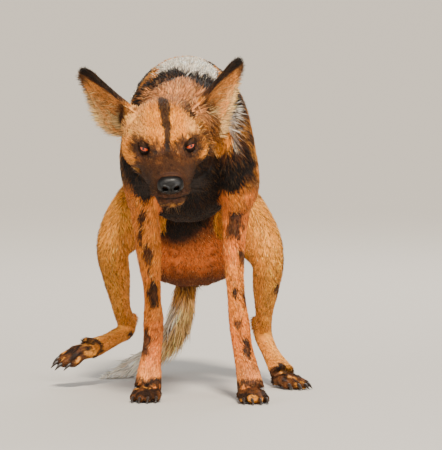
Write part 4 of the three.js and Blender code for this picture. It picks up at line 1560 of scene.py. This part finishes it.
@dataclass
class Tufts:
    """Tufts by their roots on the skin, one row each, in mm.

    Attributes:
        root: Points on the skin.
        normal: The skin's normal there.
        flow: The way the hair runs.
        colour: The coat's linear colour.
        uv: The root's place on the skin's unwrap.
        long: Length.
        wide: Width.
        lift: How steeply it leaves the skin, as a slope.
        droop: How far its tip bends back to the skin, as a share of its length.
        fall: How far its tip sinks by its own weight, as a share of its length.
        lie: Where the roots lie on the dog.
    """

    root: Rows
    normal: Rows
    flow: Rows
    colour: Rows
    uv: Rows
    long: Rows
    wide: Rows
    lift: Rows
    droop: Rows
    fall: Rows
    lie: Lie

    def only(self, which: Rows) -> "Tufts":
        """The tufts of these numbers, or where a mask is true."""
        rows = {name: value[which] for name, value in vars(self).items() if name != "lie"}
        return Tufts(**rows, lie=self.lie.only(which))

    def trim(
        self, rng: Draws, long: tuple, wide: tuple, lift: tuple, droop: float, fall: float = 0.0
    ) -> None:
        """Sets every tuft's size from seeded draws, the length first.

        Args:
            rng: Seeded source of the draws.
            long: A base in mm, and the least and most that it is multiplied by.
            wide: The same for the width.
            lift: The same for the slope at which a tuft leaves the skin.
            droop: How far tips bend back, as a share of the lift.
            fall: How far tips sink, as a share of the length.
        """
        many = len(self.root)
        self.long, self.wide, self.lift = (
            base * rng.uniform(least, most, many) for base, least, most in (long, wide, lift)
        )
        self.droop, self.fall = self.lift * droop, np.full(many, fall)

    def rings(self, rng: Draws, count: int) -> tuple[Rows, Rows]:
        """Points and colours of every tuft: its root, rings of three corners and its tip, each tuft painted
        darker towards its root as shade between the hairs.

        Args:
            rng: Seeded source of the draws.
            count: How many rings a tuft has.

        Returns:
            The points and the colours, by tuft and corner.
        """
        many = len(self.root)
        heading = unit(self.flow + np.cross(self.normal, self.flow) * rng.normal(0, 0.12, (many, 1)))
        aside = unit(np.cross(self.normal, heading))
        curl = rng.normal(0, 0.1, (many, 1)) * self.long[:, None]
        shade = rng.normal(1, 0.3, (many, 1)).clip(0.3, 2.0)
        long, lift, droop = (v[:, None] for v in (self.long, self.lift, self.droop))
        points, tints = [], []
        for number in range(count + 2):
            step = number / (count + 1)
            rise = long * (lift * step - droop * step**2) - 0.7 * (1 - step)
            middle = self.root + heading * long * step + self.normal * rise + aside * curl * step**2
            middle[:, 2] -= (self.fall * self.long) * step**2
            # Painted shade between the hairs: each tuft runs from darker at its root to lighter at its tip,
            # on top of its random tone.
            tint_with_root_shade = self.colour * shade * (0.6 + 0.55 * step)
            if 0 < number <= count:
                half = self.wide[:, None] / 2 * min(1.0, 1.3 * (1 - step) ** 0.7)
                points += [middle - aside * half, middle + self.normal * half * 0.5, middle + aside * half]
                tints += [tint_with_root_shade] * 3
            else:
                points.append(middle)
                tints.append(tint_with_root_shade)
        points = np.stack(points, 1)
        points[:, :, 2] = np.maximum(points[:, :, 2], HAIR_CLEAR)
        return points, np.stack(tints, 1)

    def piece(self, name: str, rng: Draws, count: int = 1) -> Piece:
        """One joined mesh of all the tufts, each a closed spindle.

        Args:
            name: The object's name.
            rng: Seeded source of the small differences.
            count: Rings of three corners between root and tip.

        Returns:
            The new object with its colours and its map.
        """
        points, tints = self.rings(rng, count)
        each = points.shape[1]
        faces = [(0, 1 + (k + 1) % 3, 1 + k) for k in range(3)]
        for ring in range(count - 1):
            for k in range(3):
                a, b = 1 + 3 * ring + k, 1 + 3 * ring + (k + 1) % 3
                faces += [(a, b, b + 3), (a, b + 3, a + 3)]
        last = 3 * count - 2
        faces += [(last + k, last + (k + 1) % 3, each - 1) for k in range(3)]
        faces = np.array(faces)
        corners = np.arange(len(points))[:, None, None] * each + faces
        piece = Mesh.new(name, points.reshape(-1, 3), corners.reshape(-1, 3))
        write_colour(piece, np.clip(tints, DARKEST, 1).reshape(-1, 3))
        patch = np.zeros((each, 2))
        patch[:, 1] = np.linspace(-1, 1, each)
        patch[1:-1, 0] = np.tile([-1.0, 0.1, 1.0], count)
        spread = (self.uv[:, None] + UV_SPREAD * patch)[:, faces.ravel()]
        layer = piece.data.uv_layers.new(name="OFBake")
        layer.data.foreach_set("uv", spread.astype(np.float32).ravel())
        return piece


@dataclass
class Coat:
    """Short hair over the whole skin and long locks where the dog has them.

    Attributes:
        surface: The skin.
        markings: The colours.
        seed: Start of the fixed draws.
        largest: Triangles that one piece may have.
        short_count: Tufts of short hair.
        chin_hair: sRGB hex value of the hairs below the chin.
        whisker: sRGB hex value of the whiskers.
    """

    surface: Surface
    markings: Markings
    seed: int = 24
    largest: int = 190000
    short_count: int = 190000
    chin_hair: str = "8C6A48"
    whisker: str = "20160F"

    def sow(self, many: int, density: Rows, salt: int) -> Tufts:
        """Roots spread over the skin.

        Args:
            many: How many.
            density: How close they stand at each vertex, against one another.
            salt: Sets this draw apart from the others.

        Returns:
            Tufts with their roots, colours and lie, and sizes still to set.
        """
        s = self.surface
        rng = np.random.default_rng(self.seed + salt)
        share = np.cumsum(s.areas() * density[s.corners].mean(1))
        at = (np.arange(many) + rng.random(many)) / many * share[-1]
        face = np.minimum(np.searchsorted(share, at), len(s.corners) - 1)
        a, b = np.sqrt(rng.random(many)), rng.random(many)
        part = np.stack([1 - a, a * (1 - b), a * b], 1)[:, :, None]
        corner = s.corners[face]
        root = (s.points[corner] * part).sum(1)
        normal = unit((s.normals[corner] * part).sum(1))
        lie = Lie.read(root, normal)
        aside = np.cross(normal, lie.flow)
        sway = 0.34 * noise(root, 40, 101) + 0.3 * noise(root, 10, 103)
        flow = unit(lie.flow + aside * sway[:, None])
        colour = self.fleck(self.markings.colour(root, normal, lie), rng)
        uv = (s.uvs[face] * part).sum(1)
        return Tufts(root, normal, flow, colour, uv, *[np.zeros(many)] * 5, lie)

    def fleck(self, colour: Rows, rng: Draws) -> Rows:
        """Darkens some tufts and bleaches a few, as in a grizzled coat.

        Args:
            colour: Linear colours, one row for each tuft.
            rng: Seeded source of the draws.

        Returns:
            The changed colours.
        """
        draw = rng.random(len(colour))[:, None]
        bright = colour.mean(1, keepdims=True)
        dark_share = np.where(bright > 0.5, 0.06, 0.2)
        colour = np.where(draw < dark_share, colour * 0.34, colour)
        tip = linear(self.markings.pale)
        lighter = np.interp(bright, [0.01, 0.03, 0.1, 0.3], [0.025, 0.09, 0.24, 0.36])
        colour = np.where(draw > 0.86, colour + lighter * (tip - colour), colour)
        ruddy = (draw > 0.62) & (draw < 0.86) & (bright < 0.06)
        return np.where(ruddy, colour + 0.05 * (linear(self.markings.ochre) - colour), colour)

    def short(self) -> list[Piece]:
        """The short hair of body, limbs, head and ears, in pieces below the limit of triangles.

        Returns:
            The pieces.
        """
        s, many = self.surface, self.short_count
        size = self.sizes(s.points, s.normals, s.lie)
        tufts = self.sow(many, np.clip(1 / (size[0] * size[1]), 0.01, 0.4) * (s.points[:, 2] > 1.5), 0)
        rng = np.random.default_rng(self.seed)
        long, wide, lift = self.sizes(tufts.root, tufts.normal, tufts.lie)
        lift = lift * (1 + 0.5 * noise(tufts.root, 22, 105))
        tufts.trim(rng, (long, 0.65, 1.35), (wide, 0.65, 1.2), (lift, 0.4, 1.7), 0.6)
        pieces = []
        most = self.largest // SHORT_TUFT_TRIANGLES
        order = np.argsort(tufts.lie.region, kind="stable")
        for number, start in enumerate(range(0, many, most)):
            part = tufts.only(order[start : start + most])
            pieces.append(part.piece(f"coat_{number}", rng))
        return pieces

    @staticmethod
    def sizes(points: Rows, normals: Rows, lie: Lie) -> Rows:
        """Length, width and lift of the short hair at points of the skin.

        Args:
            points: Points in the dog's frame, in mm.
            normals: The skin's normals there.
            lie: Where the points lie on the dog.

        Returns:
            The three rows.
        """
        long = np.interp(points[:, 2], [250, 400, 520], [11, 14, 17])
        wide = np.full(len(points), 1.7)
        lift = np.full(len(points), 0.24)
        legs = lie.within(Region.FORE_LEFT, Region.FORE_RIGHT, Region.HIND_LEFT, Region.HIND_RIGHT)
        bare = lie.within(Region.TRUNK) & (points[:, 2] < 290) & (points[:, 1] > 180) & (normals[:, 1] < 0)
        own = in_head(points)
        face = np.interp(own[:, 1], [0, 20, 60, 110, 170, 220], [2.4, 3.8, 5.4, 7.0, 11, 14])
        face = face * np.where(own[:, 2] < -14, 1.35, 1.0)
        near_eye = np.linalg.norm(np.abs(own) - np.abs(EYE_CENTRE), axis=1)
        face = face * np.interp(near_eye, [11.5, 20], [0.5, 1])
        for where, its_long, its_wide, its_lift in (
            (bare, 7.0, 1.1, 0.16),
            (lie.within(Region.NECK), 20.0, 1.7, 0.3),
            (legs, np.interp(points[:, 2], [20, 120, 330], [7, 9, 14]), 1.2, 0.2),
            (lie.within(Region.PAW), 5.0, 0.9, 0.2),
            (lie.within(*EARS), 6.5, 0.9, 0.34),
            (lie.within(Region.TAIL), 16.0, 1.6, 0.3),
            (lie.within(Region.HEAD), face, np.interp(face, [1.6, 6, 13], [0.55, 0.95, 1.5]), 0.3),
        ):
            long = np.where(where, its_long, long)
            wide = np.where(where, its_wide, wide)
            lift = np.where(where, its_lift, lift)
        return np.stack([long, wide, lift])

    def locks(self, name: str, many: int, density: Rows) -> tuple[Tufts, Draws]:
        """Roots for long hair and the fixed draws that go with it."""
        salt = sum(map(ord, name))
        return self.sow(many, density, salt), np.random.default_rng(self.seed + salt)

    def ruff(self) -> Piece:
        """Longer hair on cheeks, throat and the sides of the neck, swept back and outwards.

        Returns:
            The new object.
        """
        s = self.surface
        own = in_head(s.points)
        cheek = s.lie.within(Region.HEAD) * ramp(own[:, 1], 138, 165) * ramp(own[:, 2], 22, -8)
        throat = s.lie.within(Region.NECK) * ramp(own[:, 2], 70, 20)
        tufts, rng = self.locks("ruff", 4200, cheek * 2.2 + throat)
        long = np.interp(in_head(tufts.root)[:, 1], [130, 165, 200], [10, 18, 27])
        tufts.trim(rng, (long, 0.7, 1.3), (1, 0.9, 1.6), (self.calm(tufts), 0.12, 0.42), 0.6, 0.2)
        return tufts.piece("ruff", rng, 3)

    @staticmethod
    def calm(tufts: Tufts) -> Rows:
        """Lays the locks of neck and shoulders flat where they face forward."""
        ahead = ramp(-tufts.normal[:, 1], 0.3, 0.7) * ~tufts.lie.within(Region.HEAD)
        return 1 - 0.85 * ahead

    def mane(self) -> Piece:
        """Rougher locks along the back of the neck, the withers and the shoulders.

        Returns:
            The new object.
        """
        s = self.surface
        top = ramp(s.points[:, 1], 210, 90) * ramp(s.points[:, 2], 400, 470)
        tufts, rng = self.locks("mane", 5200, s.lie.within(Region.NECK, Region.TRUNK) * top)
        tufts.trim(rng, (1, 15, 28), (1, 0.9, 1.7), (self.calm(tufts), 0.1, 0.34), 0.7, 0.08)
        return tufts.piece("mane", rng, 3)

    def fringes(self) -> Piece:
        """Long hair on the edges of the ears and across their hollows.

        Returns:
            The new object.
        """
        s = self.surface
        density = np.zeros(len(s.points))
        for region, flip in EARS.items():
            ear = s.lie.within(region)
            t, low, _ = on_ear(s.points, flip)
            edge = ramp(np.abs(low), 0.84, 0.95) * np.where(low > 0, 1.6, 0.7)
            inner = ramp(low, -0.1, 0.5) * ramp(t, 0.8, 0.3) * 0.4
            density += ear * (edge + inner) * ramp(t, 0.05, 0.15)
        tufts, rng = self.locks("fringes", 4600, density)
        many = len(tufts.root)
        low, t = np.zeros(many), np.zeros(many)
        for region, flip in EARS.items():
            here = tufts.lie.within(region)
            its_t, its_low, _ = on_ear(tufts.root, flip)
            t, low = np.where(here, its_t, t), np.where(here, its_low, low)
            matrix = ear_matrix(flip)
            away = (np.sign(its_low) * flip)[:, None] * matrix[:3, 0] + 1.1 * matrix[:3, 2]
            away = away - 0.25 * matrix[:3, 1]
            tufts.flow = np.where(here[:, None], unit(away + rng.normal(0, 0.16, (many, 3))), tufts.flow)
        lower = low > 0
        long = np.where(lower, np.interp(t, [0.1, 0.5, 1], [27, 21, 9]), 8.0)
        tufts.long = long * rng.uniform(0.5, 1.25, many)
        light = lower * ramp(t, 0.9, 0.75) * rng.uniform(0.2, 1.0, many)
        tufts.colour = lay_over(tufts.colour, linear(self.markings.pale), light)
        tufts.wide = rng.uniform(0.7, 1.2, many)
        tufts.lift = rng.uniform(0.0, 0.25, many)
        tufts.droop = tufts.lift * 0.5
        return tufts.piece("ear_fringes", rng, 2)

    def brush(self) -> Piece:
        """The long hair of the tail, fullest past its middle.

        Returns:
            The new object.
        """
        s = self.surface
        tufts, rng = self.locks("brush", 5200, s.lie.within(Region.TAIL) * ramp(s.lie.along, 0.14, 0.3))
        t = tufts.lie.along
        long = np.interp(t, [0.15, 0.35, 0.6, 0.85, 1], [22, 46, 54, 42, 24])
        full = np.interp(t, [0.15, 0.4, 0.65, 1], [0.2, 0.42, 0.42, 0.16])
        tufts.trim(rng, (long, 0.6, 1.1), (1, 1.3, 2.4), (full, 0.3, 1.5), 0.65, 0.06)
        return tufts.piece("tail_brush_hair", rng, 4)

    def whiskers(self) -> Piece:
        """Stiff hairs on the lips and below the chin.

        Returns:
            The new object.
        """
        s = self.surface
        own = in_head(s.points)
        pads = ramp(np.linalg.norm((np.abs(own) - [28, 32, 0]) * [1, 1, 0], axis=1), 20, 8)
        pads = pads * ramp(np.abs(own[:, 2] + 17), 10, 6)
        chin = ramp(np.hypot(own[:, 0] / 2, own[:, 1] - 24), 16, 8) * (own[:, 2] < -40)
        tufts, rng = self.locks("whiskers", 130, s.lie.within(Region.HEAD) * (pads + 0.3 * chin))
        many = len(tufts.root)
        own = in_head(tufts.root)
        below = own[:, 2] < -34
        way = np.stack([np.sign(own[:, 0]), np.full(many, 0.55), np.full(many, -0.2)], 1)
        way[below] = [0.0, -0.1, -1.0]
        way = unit(way + rng.normal(0, 0.18, (many, 3)))
        tufts.flow = way @ HEAD[:3, :3].T
        tufts.long = np.where(below, rng.uniform(6, 13, many), rng.uniform(18, 42, many))
        tufts.wide, tufts.lift, tufts.droop, tufts.fall = (np.full(many, v) for v in (0.6, 0.3, 0.1, 0.12))
        tufts.colour = np.where(below[:, None], linear(self.chin_hair), linear(self.whisker))
        return tufts.piece("whiskers", rng, 4)

    def build(self) -> list[Piece]:
        """All pieces of hair."""
        long_hair = [self.ruff(), self.mane(), self.fringes(), self.brush(), self.whiskers()]
        return self.short() + long_hair


def hoop_faces(rings: int, sides: int, closed: bool) -> Rows:
    """Faces of a tube whose corners are counted ring by ring.

    Args:
        rings: How many rings it has.
        sides: Corners of a ring.
        closed: Whether the last ring meets the first.

    Returns:
        Rows of four vertex numbers.
    """
    spans = rings if closed else rings - 1
    ring, k = np.meshgrid(np.arange(spans), np.arange(sides), indexing="ij")
    a, b = ring * sides + k, ring * sides + (k + 1) % sides
    total = rings * sides
    return np.stack([a, (a + sides) % total, (b + sides) % total, b], -1).reshape(-1, 4)


@dataclass
class Eye:
    """One eye: ball with iris and pupil, and the dark rims of the lids.

    Attributes:
        side: "left" or "right".
        pupil: Half width of the pupil in mm.
        iris: Half width of the iris in mm.
        rim: Half thickness of the rim of a lid in mm.
        tones: sRGB hex values of the white, the iris, its edge and the pupil.
    """

    side: str
    pupil: float = 2.3
    iris: float = 8.2
    rim: float = 0.6
    tones: tuple = ("4A2A1A", "D04408", "3A140A", "050404")

    def ball(self) -> Piece:
        """The ball, its poles in and out of the eye, with colours as the attribute `coat`.

        Returns:
            The new object.
        """
        piece, n = ball_points(f"eyeball_{self.side}", 64, 96)
        tighter = np.pi * (np.arccos(np.clip(n[:, 2], -1, 1)) / np.pi) ** 1.35
        ring = unit(n[:, :2])
        off, out = EYE_RADIUS * np.sin(tighter), np.cos(tighter)
        bulge = 0.7 * np.maximum(0, 1 - (off / 7.2) ** 2) * (out > 0)
        own = np.stack([ring[:, 0] * off, -(EYE_RADIUS * out + bulge), ring[:, 1] * off], 1)
        Mesh.place(piece, moved(own, eye_matrix(SIDES[self.side])))
        turn = np.arctan2(ring[:, 1], ring[:, 0])
        fibre = noise(np.stack([turn * 9, off * 0.6, np.zeros(len(off))], 1), 0.5, 95, 2)
        iris = ramp(off, self.iris, self.iris - 0.5) * (out > 0)
        edge = iris * ramp(off, self.iris - 1.6, self.iris - 0.4)
        dark = ramp(off, self.pupil + 0.3, self.pupil - 0.2) * (out > 0)
        white, glow, ring_tone, black = (linear(code) for code in self.tones)
        colour = lay_over(np.tile(white, (len(off), 1)), glow * (1 + 0.5 * fibre[:, None]), iris)
        colour = lay_over(lay_over(colour, ring_tone, edge), black, dark)
        write_colour(piece, np.clip(colour, 0, 1))
        return piece

    def rims(self) -> Piece:
        """A thin dark tube round the almond opening, thicker at the inner corner.

        Returns:
            The new object.
        """
        flip, around, sides = SIDES[self.side], 96, 8
        turn = np.linspace(0, 2 * np.pi, around, endpoint=False)
        (x0, z0), (x1, z1) = ALMOND_INNER, ALMOND_OUTER
        s = (1 - np.cos(turn)) / 2
        side = x0 + (x1 - x0) * s
        arch = 4 * s * (1 - s)
        up = z0 + (z1 - z0) * s + np.where(turn < np.pi, ALMOND_ABOVE, -ALMOND_BELOW) * arch
        out = np.sqrt(np.maximum((EYE_RADIUS + 0.75) ** 2 - side**2 - up**2, 2))
        line = np.stack([side * flip, -out, up], 1)
        along, away = unit(np.roll(line, -1, 0) - np.roll(line, 1, 0)), unit(line)
        across = np.cross(along, away)
        thick = self.rim * (1 + 0.7 * np.exp(-((s / 0.08) ** 2)))
        angle = np.arange(sides) * 2 * np.pi / sides
        ring = across[:, None] * np.cos(angle)[:, None] + away[:, None] * np.sin(angle)[:, None]
        points = (line[:, None] + ring * thick[:, None, None]).reshape(-1, 3)
        quads = hoop_faces(around, sides, True)[:, ::-flip]
        piece = Mesh.new(f"lid_rim_{self.side}", moved(points, eye_matrix(flip)), quads)
        Mesh.smooth(piece)
        return piece


@dataclass
class Nose:
    """The nose pad with its nostrils, in the head's frame.

    Attributes:
        centre: Middle of the pad in mm.
        radii: Half width, depth and half height in mm.
    """

    centre: tuple = (0.0, 8.5, -1.5)
    radii: tuple = (22.5, 12.5, 17.0)

    def build(self) -> Piece:
        """A squared ball narrowed downwards, with nostrils, wings and the groove between them.

        Returns:
            The new object.
        """
        piece, n = ball_points("nose_pad", 160, 120)
        n = n[:, [0, 2, 1]] * [1, -1, 1]
        squared = n / (np.abs(n) ** 2.7).sum(1, keepdims=True) ** (1 / 2.7)
        x, y, z = (squared * self.radii).T
        x = x * (1 - 0.3 * ramp(z, -2, -17) - 0.08 * ramp(z, 8, 17))
        y = y + 0.22 * np.maximum(0, -z) + 0.1 * np.maximum(0, z)
        front = ramp(y, 6, -2)
        for flip in SIDES.values():
            side = x * flip
            hole = np.hypot((side - 9.6) / 5.4, (z + 0.5 - 0.25 * (side - 9)) / 4.6)
            y = y + 8.5 * ramp(hole, 1.0, 0.45) * front
            y = y - 1.5 * np.exp(-(((hole - 1.35) / 0.32) ** 2)) * front
            slit = off_line(np.stack([side, z], 1), np.array([[10.0, -2.5], [16.0, -5.5], [22.0, -6.5]]))
            y = y + 4.5 * ramp(np.abs(slit), 1.7, 0.5) * ramp(y, 14, 4) * (side > 9)
        y = y + 1.5 * np.exp(-((x / 1.0) ** 2)) * ramp(z, 2, -4) * front
        points = np.stack([x, y, z], 1) + self.centre
        Mesh.place(piece, moved(points, HEAD))
        Mesh.face_out(piece)
        return piece


@dataclass
class Claws:
    """Four dark claws on each foot, as one mesh.

    Attributes:
        length: Length past the toe in mm.
        sides: Corners round a claw.
        rings: Rings along it.
    """

    length: float = 14.0
    sides: int = 10
    rings: int = 9

    def build(self) -> Piece:
        """All claws in one joined mesh.

        Returns:
            The new object.
        """
        t = np.repeat(np.linspace(0, 1, self.rings), self.sides)
        angle = np.tile(np.arange(self.sides) * 2 * np.pi / self.sides, self.rings)
        quads = hoop_faces(self.rings, self.sides, False)
        j = np.arange(self.sides)
        j2 = (j + 1) % self.sides
        root, top = np.full(self.sides, len(t)), (self.rings - 1) * self.sides
        ends = np.stack([j, j2, root], 1), np.stack([top + j2, top + j, root + 1], 1)
        claw = np.vstack([quads[:, [0, 1, 2]], quads[:, [0, 2, 3]], *ends])
        points, faces = [], []
        for foot in FEET:
            for side, reach, _ in TOES:
                x = side * 1.08
                stations = [
                    [x, -reach + 2, 7.4, 3.2, 3.6],
                    [x * 1.01, -reach - 7, 8.6, 3.0, 3.4],
                    [x * 1.02, -reach - 14, 6.4, 2.2, 2.7],
                    [x * 1.03, -reach - 8 - self.length, 1.4, 0.5, 0.6],
                ]
                nail = Bend(stations, matrix=frame_at(*FEET[foot]))
                faces.append(claw + len(points) * (len(t) + 2))
                points.append(nail.world(np.vstack([nail.skin(t, angle), nail.line(np.array([0.0, 1.0]))])))
        piece = Mesh.new("claws", np.vstack(points), np.vstack(faces))
        Mesh.smooth(piece)
        Mesh.face_out(piece)
        return piece


class Grain(Enum):
    """What breaks up a surface."""

    NONE = 0
    HAIRS = 1
    PEBBLES = 2


@dataclass(frozen=True)
class Finish:
    """One material of the dog.

    Attributes:
        name: What the real material is.
        roughness: From mirror, 0, to matt, 1.
        colour: sRGB hex value, or empty where the attribute `coat` gives the colour.
        coat: Strength of a clear wet layer.
        specular: How strongly light is mirrored, 0.5 for plain plastic.
        grain: What breaks up the surface.
        size: Millimetres across a hair or pebble.
        depth: Millimetres that hairs or pebbles stand out.
    """

    name: str
    roughness: float
    colour: str = ""
    coat: float = 0.0
    specular: float = 0.5
    grain: Grain = Grain.NONE
    size: float = 1.0
    depth: float = 0.0

    @staticmethod
    def add(tree: bpy.types.NodeTree, kind: str, links: dict, **settings: object) -> bpy.types.Node:
        """Adds a node with its settings and links.

        Args:
            tree: The material's nodes.
            kind: The type of the node, or the name of one that is there already.
            links: For the name of each linked input, the node and output that feed it.
            settings: Values of the node's properties, or of its inputs with _ for a space.

        Returns:
            The node.
        """
        node = tree.nodes.get(kind) or tree.nodes.new(kind)
        for name, value in settings.items():
            if hasattr(node, name):
                setattr(node, name, value)
            else:
                node.inputs[name.replace("_", " ")].default_value = value
        for name, (source, output) in links.items():
            tree.links.new(source.outputs[output], node.inputs[name])
        return node

    def material(self) -> bpy.types.Material:
        """The material, made on first use.

        Returns:
            The same material each time.
        """
        known = bpy.data.materials.get(self.name)
        if known:
            return known
        material = bpy.data.materials.new(self.name)
        material.use_nodes = True
        tree = material.node_tree
        shine = {"Coat_Weight": self.coat, "Coat_Roughness": 0.08, "Specular_IOR_Level": self.specular}
        links = {}
        if self.colour:
            shine["Base_Color"] = (*linear(self.colour), 1)
        else:
            links["Base Color"] = self.add(tree, "ShaderNodeAttribute", {}, attribute_name="coat"), "Color"
        if self.grain is not Grain.NONE:
            links["Normal"] = self.bump(tree), "Normal"
        self.add(tree, "Principled BSDF", links, Roughness=self.roughness, **shine)
        return material

    def bump(self, tree: bpy.types.NodeTree) -> bpy.types.Node:
        """The bump of hairs that run down and back, or of pebbles.

        Args:
            tree: The material's nodes.

        Returns:
            The bump node.
        """
        place, scale = (self.add(tree, "ShaderNodeTexCoord", {}), "Object"), 1 / (self.size * MM)
        if self.grain is Grain.HAIRS:
            stretch = self.add(tree, "ShaderNodeMapping", {"Vector": place}, Scale=(1.0, 0.4, 0.25))
            vector = {"Vector": (stretch, "Vector")}
            height = self.add(tree, "ShaderNodeTexNoise", vector, Scale=scale, Detail=3), "Fac"
        else:
            cells = {"feature": "SMOOTH_F1", "Scale": scale}
            height = self.add(tree, "ShaderNodeTexVoronoi", {"Vector": place}, **cells), "Distance"
        return self.add(tree, "ShaderNodeBump", {"Height": height}, Distance=self.depth * MM)


# Short stiff hair is dull with a faint sheen, which tells fur from skin. Its hairs are drawn
# coarser than the real 0.1 mm, so that they show.
HIDE = Finish("short stiff hair", 0.62, specular=0.2, grain=Grain.HAIRS, size=1.6, depth=0.5)
# A wet eye has a clear layer, which gives one small sharp highlight.
WET_EYE = Finish("wet eye", 0.35, coat=0.5)
# Moist black nose leather is pebbled, so its gloss breaks up.
LEATHER = Finish("moist nose leather", 0.4, "040201", 0.08, 0.25, Grain.PEBBLES, 0.9, 0.35)
# Dark worn claw horn is smoother than the hair round it.
HORN = Finish("worn claw horn", 0.42, "241B15", grain=Grain.PEBBLES, size=1.5, depth=0.05)
# Matt pale paint keeps the floor quiet under the dog.
FLOOR_PAINT = Finish("matt pale floor paint", 0.8, "B6B2AB")


@dataclass
class Studio:
    """The pale floor, the lights and the camera at the photograph's angle.

    Attributes:
        aim: What the camera looks at, in mm.
        distance: How far it stands off, in m.
        elevation: How far it looks down, in degrees.
        lens: Its focal length in mm.
        lamps: Name, place in m, size in m and power in watts of each soft lamp.
        sun: Where the sun stands.
        target: What the lights point at, in m.
    """

    aim: tuple = (54.0, 0.0, 307.0)
    distance: float = 10.0
    elevation: float = 4.0
    lens: float = 457.14
    lamps: tuple = (
        ("fill", (-2.6, -2.6, 1.4), 2.6, 60),
        ("front", (1.9, -3.2, 0.5), 2.2, 150),
        ("rim", (0.9, 2.8, 2.4), 1.8, 60),
    )
    sun: tuple = (0.3, -2.2, 3.0)
    target: tuple = (0.0, 0.0, 0.3)

    def build(self) -> None:
        """Adds the floor, lights and camera."""
        bpy.ops.object.select_all(action="DESELECT")
        bpy.ops.mesh.primitive_plane_add(size=80)
        floor = bpy.context.object
        floor.name = "studio_floor"
        floor.data.materials.append(FLOOR_PAINT.material())
        for name, spot, size, power in self.lamps:
            lamp = bpy.data.lights.new(name, "AREA")
            lamp.size, lamp.energy = size, power
            self.hang(lamp, spot)
        sun = bpy.data.lights.new("key", "SUN")
        sun.angle, sun.energy, sun.color = math.radians(10), 7.4, (1.0, 0.9, 0.77)
        self.hang(sun, self.sun)
        world = bpy.data.worlds.new("studio")
        world.use_nodes = True
        sky = world.node_tree.nodes["Background"]
        sky.inputs["Color"].default_value = (0.9, 0.87, 0.82, 1)
        sky.inputs["Strength"].default_value = 0.5
        bpy.context.scene.world = world
        eye = bpy.data.cameras.new("camera")
        eye.lens, eye.sensor_width, eye.clip_end = self.lens, 36, 200
        aim, tilt = Vector(PLACE.metres(np.array(self.aim))), math.radians(self.elevation)
        spot = aim + Vector((0, -math.cos(tilt), math.sin(tilt))) * self.distance
        bpy.context.scene.camera = self.hang(eye, spot, aim)

    def hang(self, what: bpy.types.ID, spot: tuple, aim: tuple | None = None) -> Piece:
        """Places a lamp or camera so that it points at the dog.

        Args:
            what: The lamp or camera.
            spot: Where it goes, in m.
            aim: What it points at, the lights' target where it is left out.

        Returns:
            Its object.
        """
        made = bpy.data.objects.new(what.name, what)
        bpy.context.collection.objects.link(made)
        made.location = spot
        way = Vector(self.target if aim is None else aim) - Vector(spot)
        made.rotation_euler = way.to_track_quat("-Z", "Y").to_euler()
        return made


def hand_over(piece: Piece, finish: Finish, slot: str, *nodes: str) -> None:
    """Gives a piece its material, hangs it on the root body and hides the solids that it takes the place of.

    Args:
        piece: The finished piece.
        finish: Its finish.
        slot: The record's name for its material; not used.
        nodes: The solids that it takes the place of.
    """
    piece.data.materials.append(finish.material())
    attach(piece, "root")
    if nodes:
        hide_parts(*nodes)
    LOG.info("%s: %d faces", piece.name, len(piece.data.polygons))


def main() -> None:
    """Builds the pieces in order and reports each."""
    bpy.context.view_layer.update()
    Studio().build()
    skin = Skin().build()
    surface = Surface.read(skin)
    markings = Markings()
    write_colour(skin, UNDER_HAIR * markings.colour(surface.points, surface.normals, surface.lie))
    skin.data.materials.clear()
    Mesh.smooth(skin)
    flesh = [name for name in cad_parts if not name.startswith(("eye", "nose"))]
    hand_over(skin, HIDE, "mottled_coat", *flesh)
    for side in SIDES:
        hand_over(Eye(side).ball(), WET_EYE, "iris", f"eye_{side}")
        hand_over(Eye(side).rims(), LEATHER, "dark_coat")
    hand_over(Nose().build(), LEATHER, "nose_leather", "nose")
    hand_over(Claws().build(), HORN, "dark_coat")
    for piece in Coat(surface, markings).build():
        hand_over(piece, HIDE, "mottled_coat")


if __name__ == "__main__":
    main()
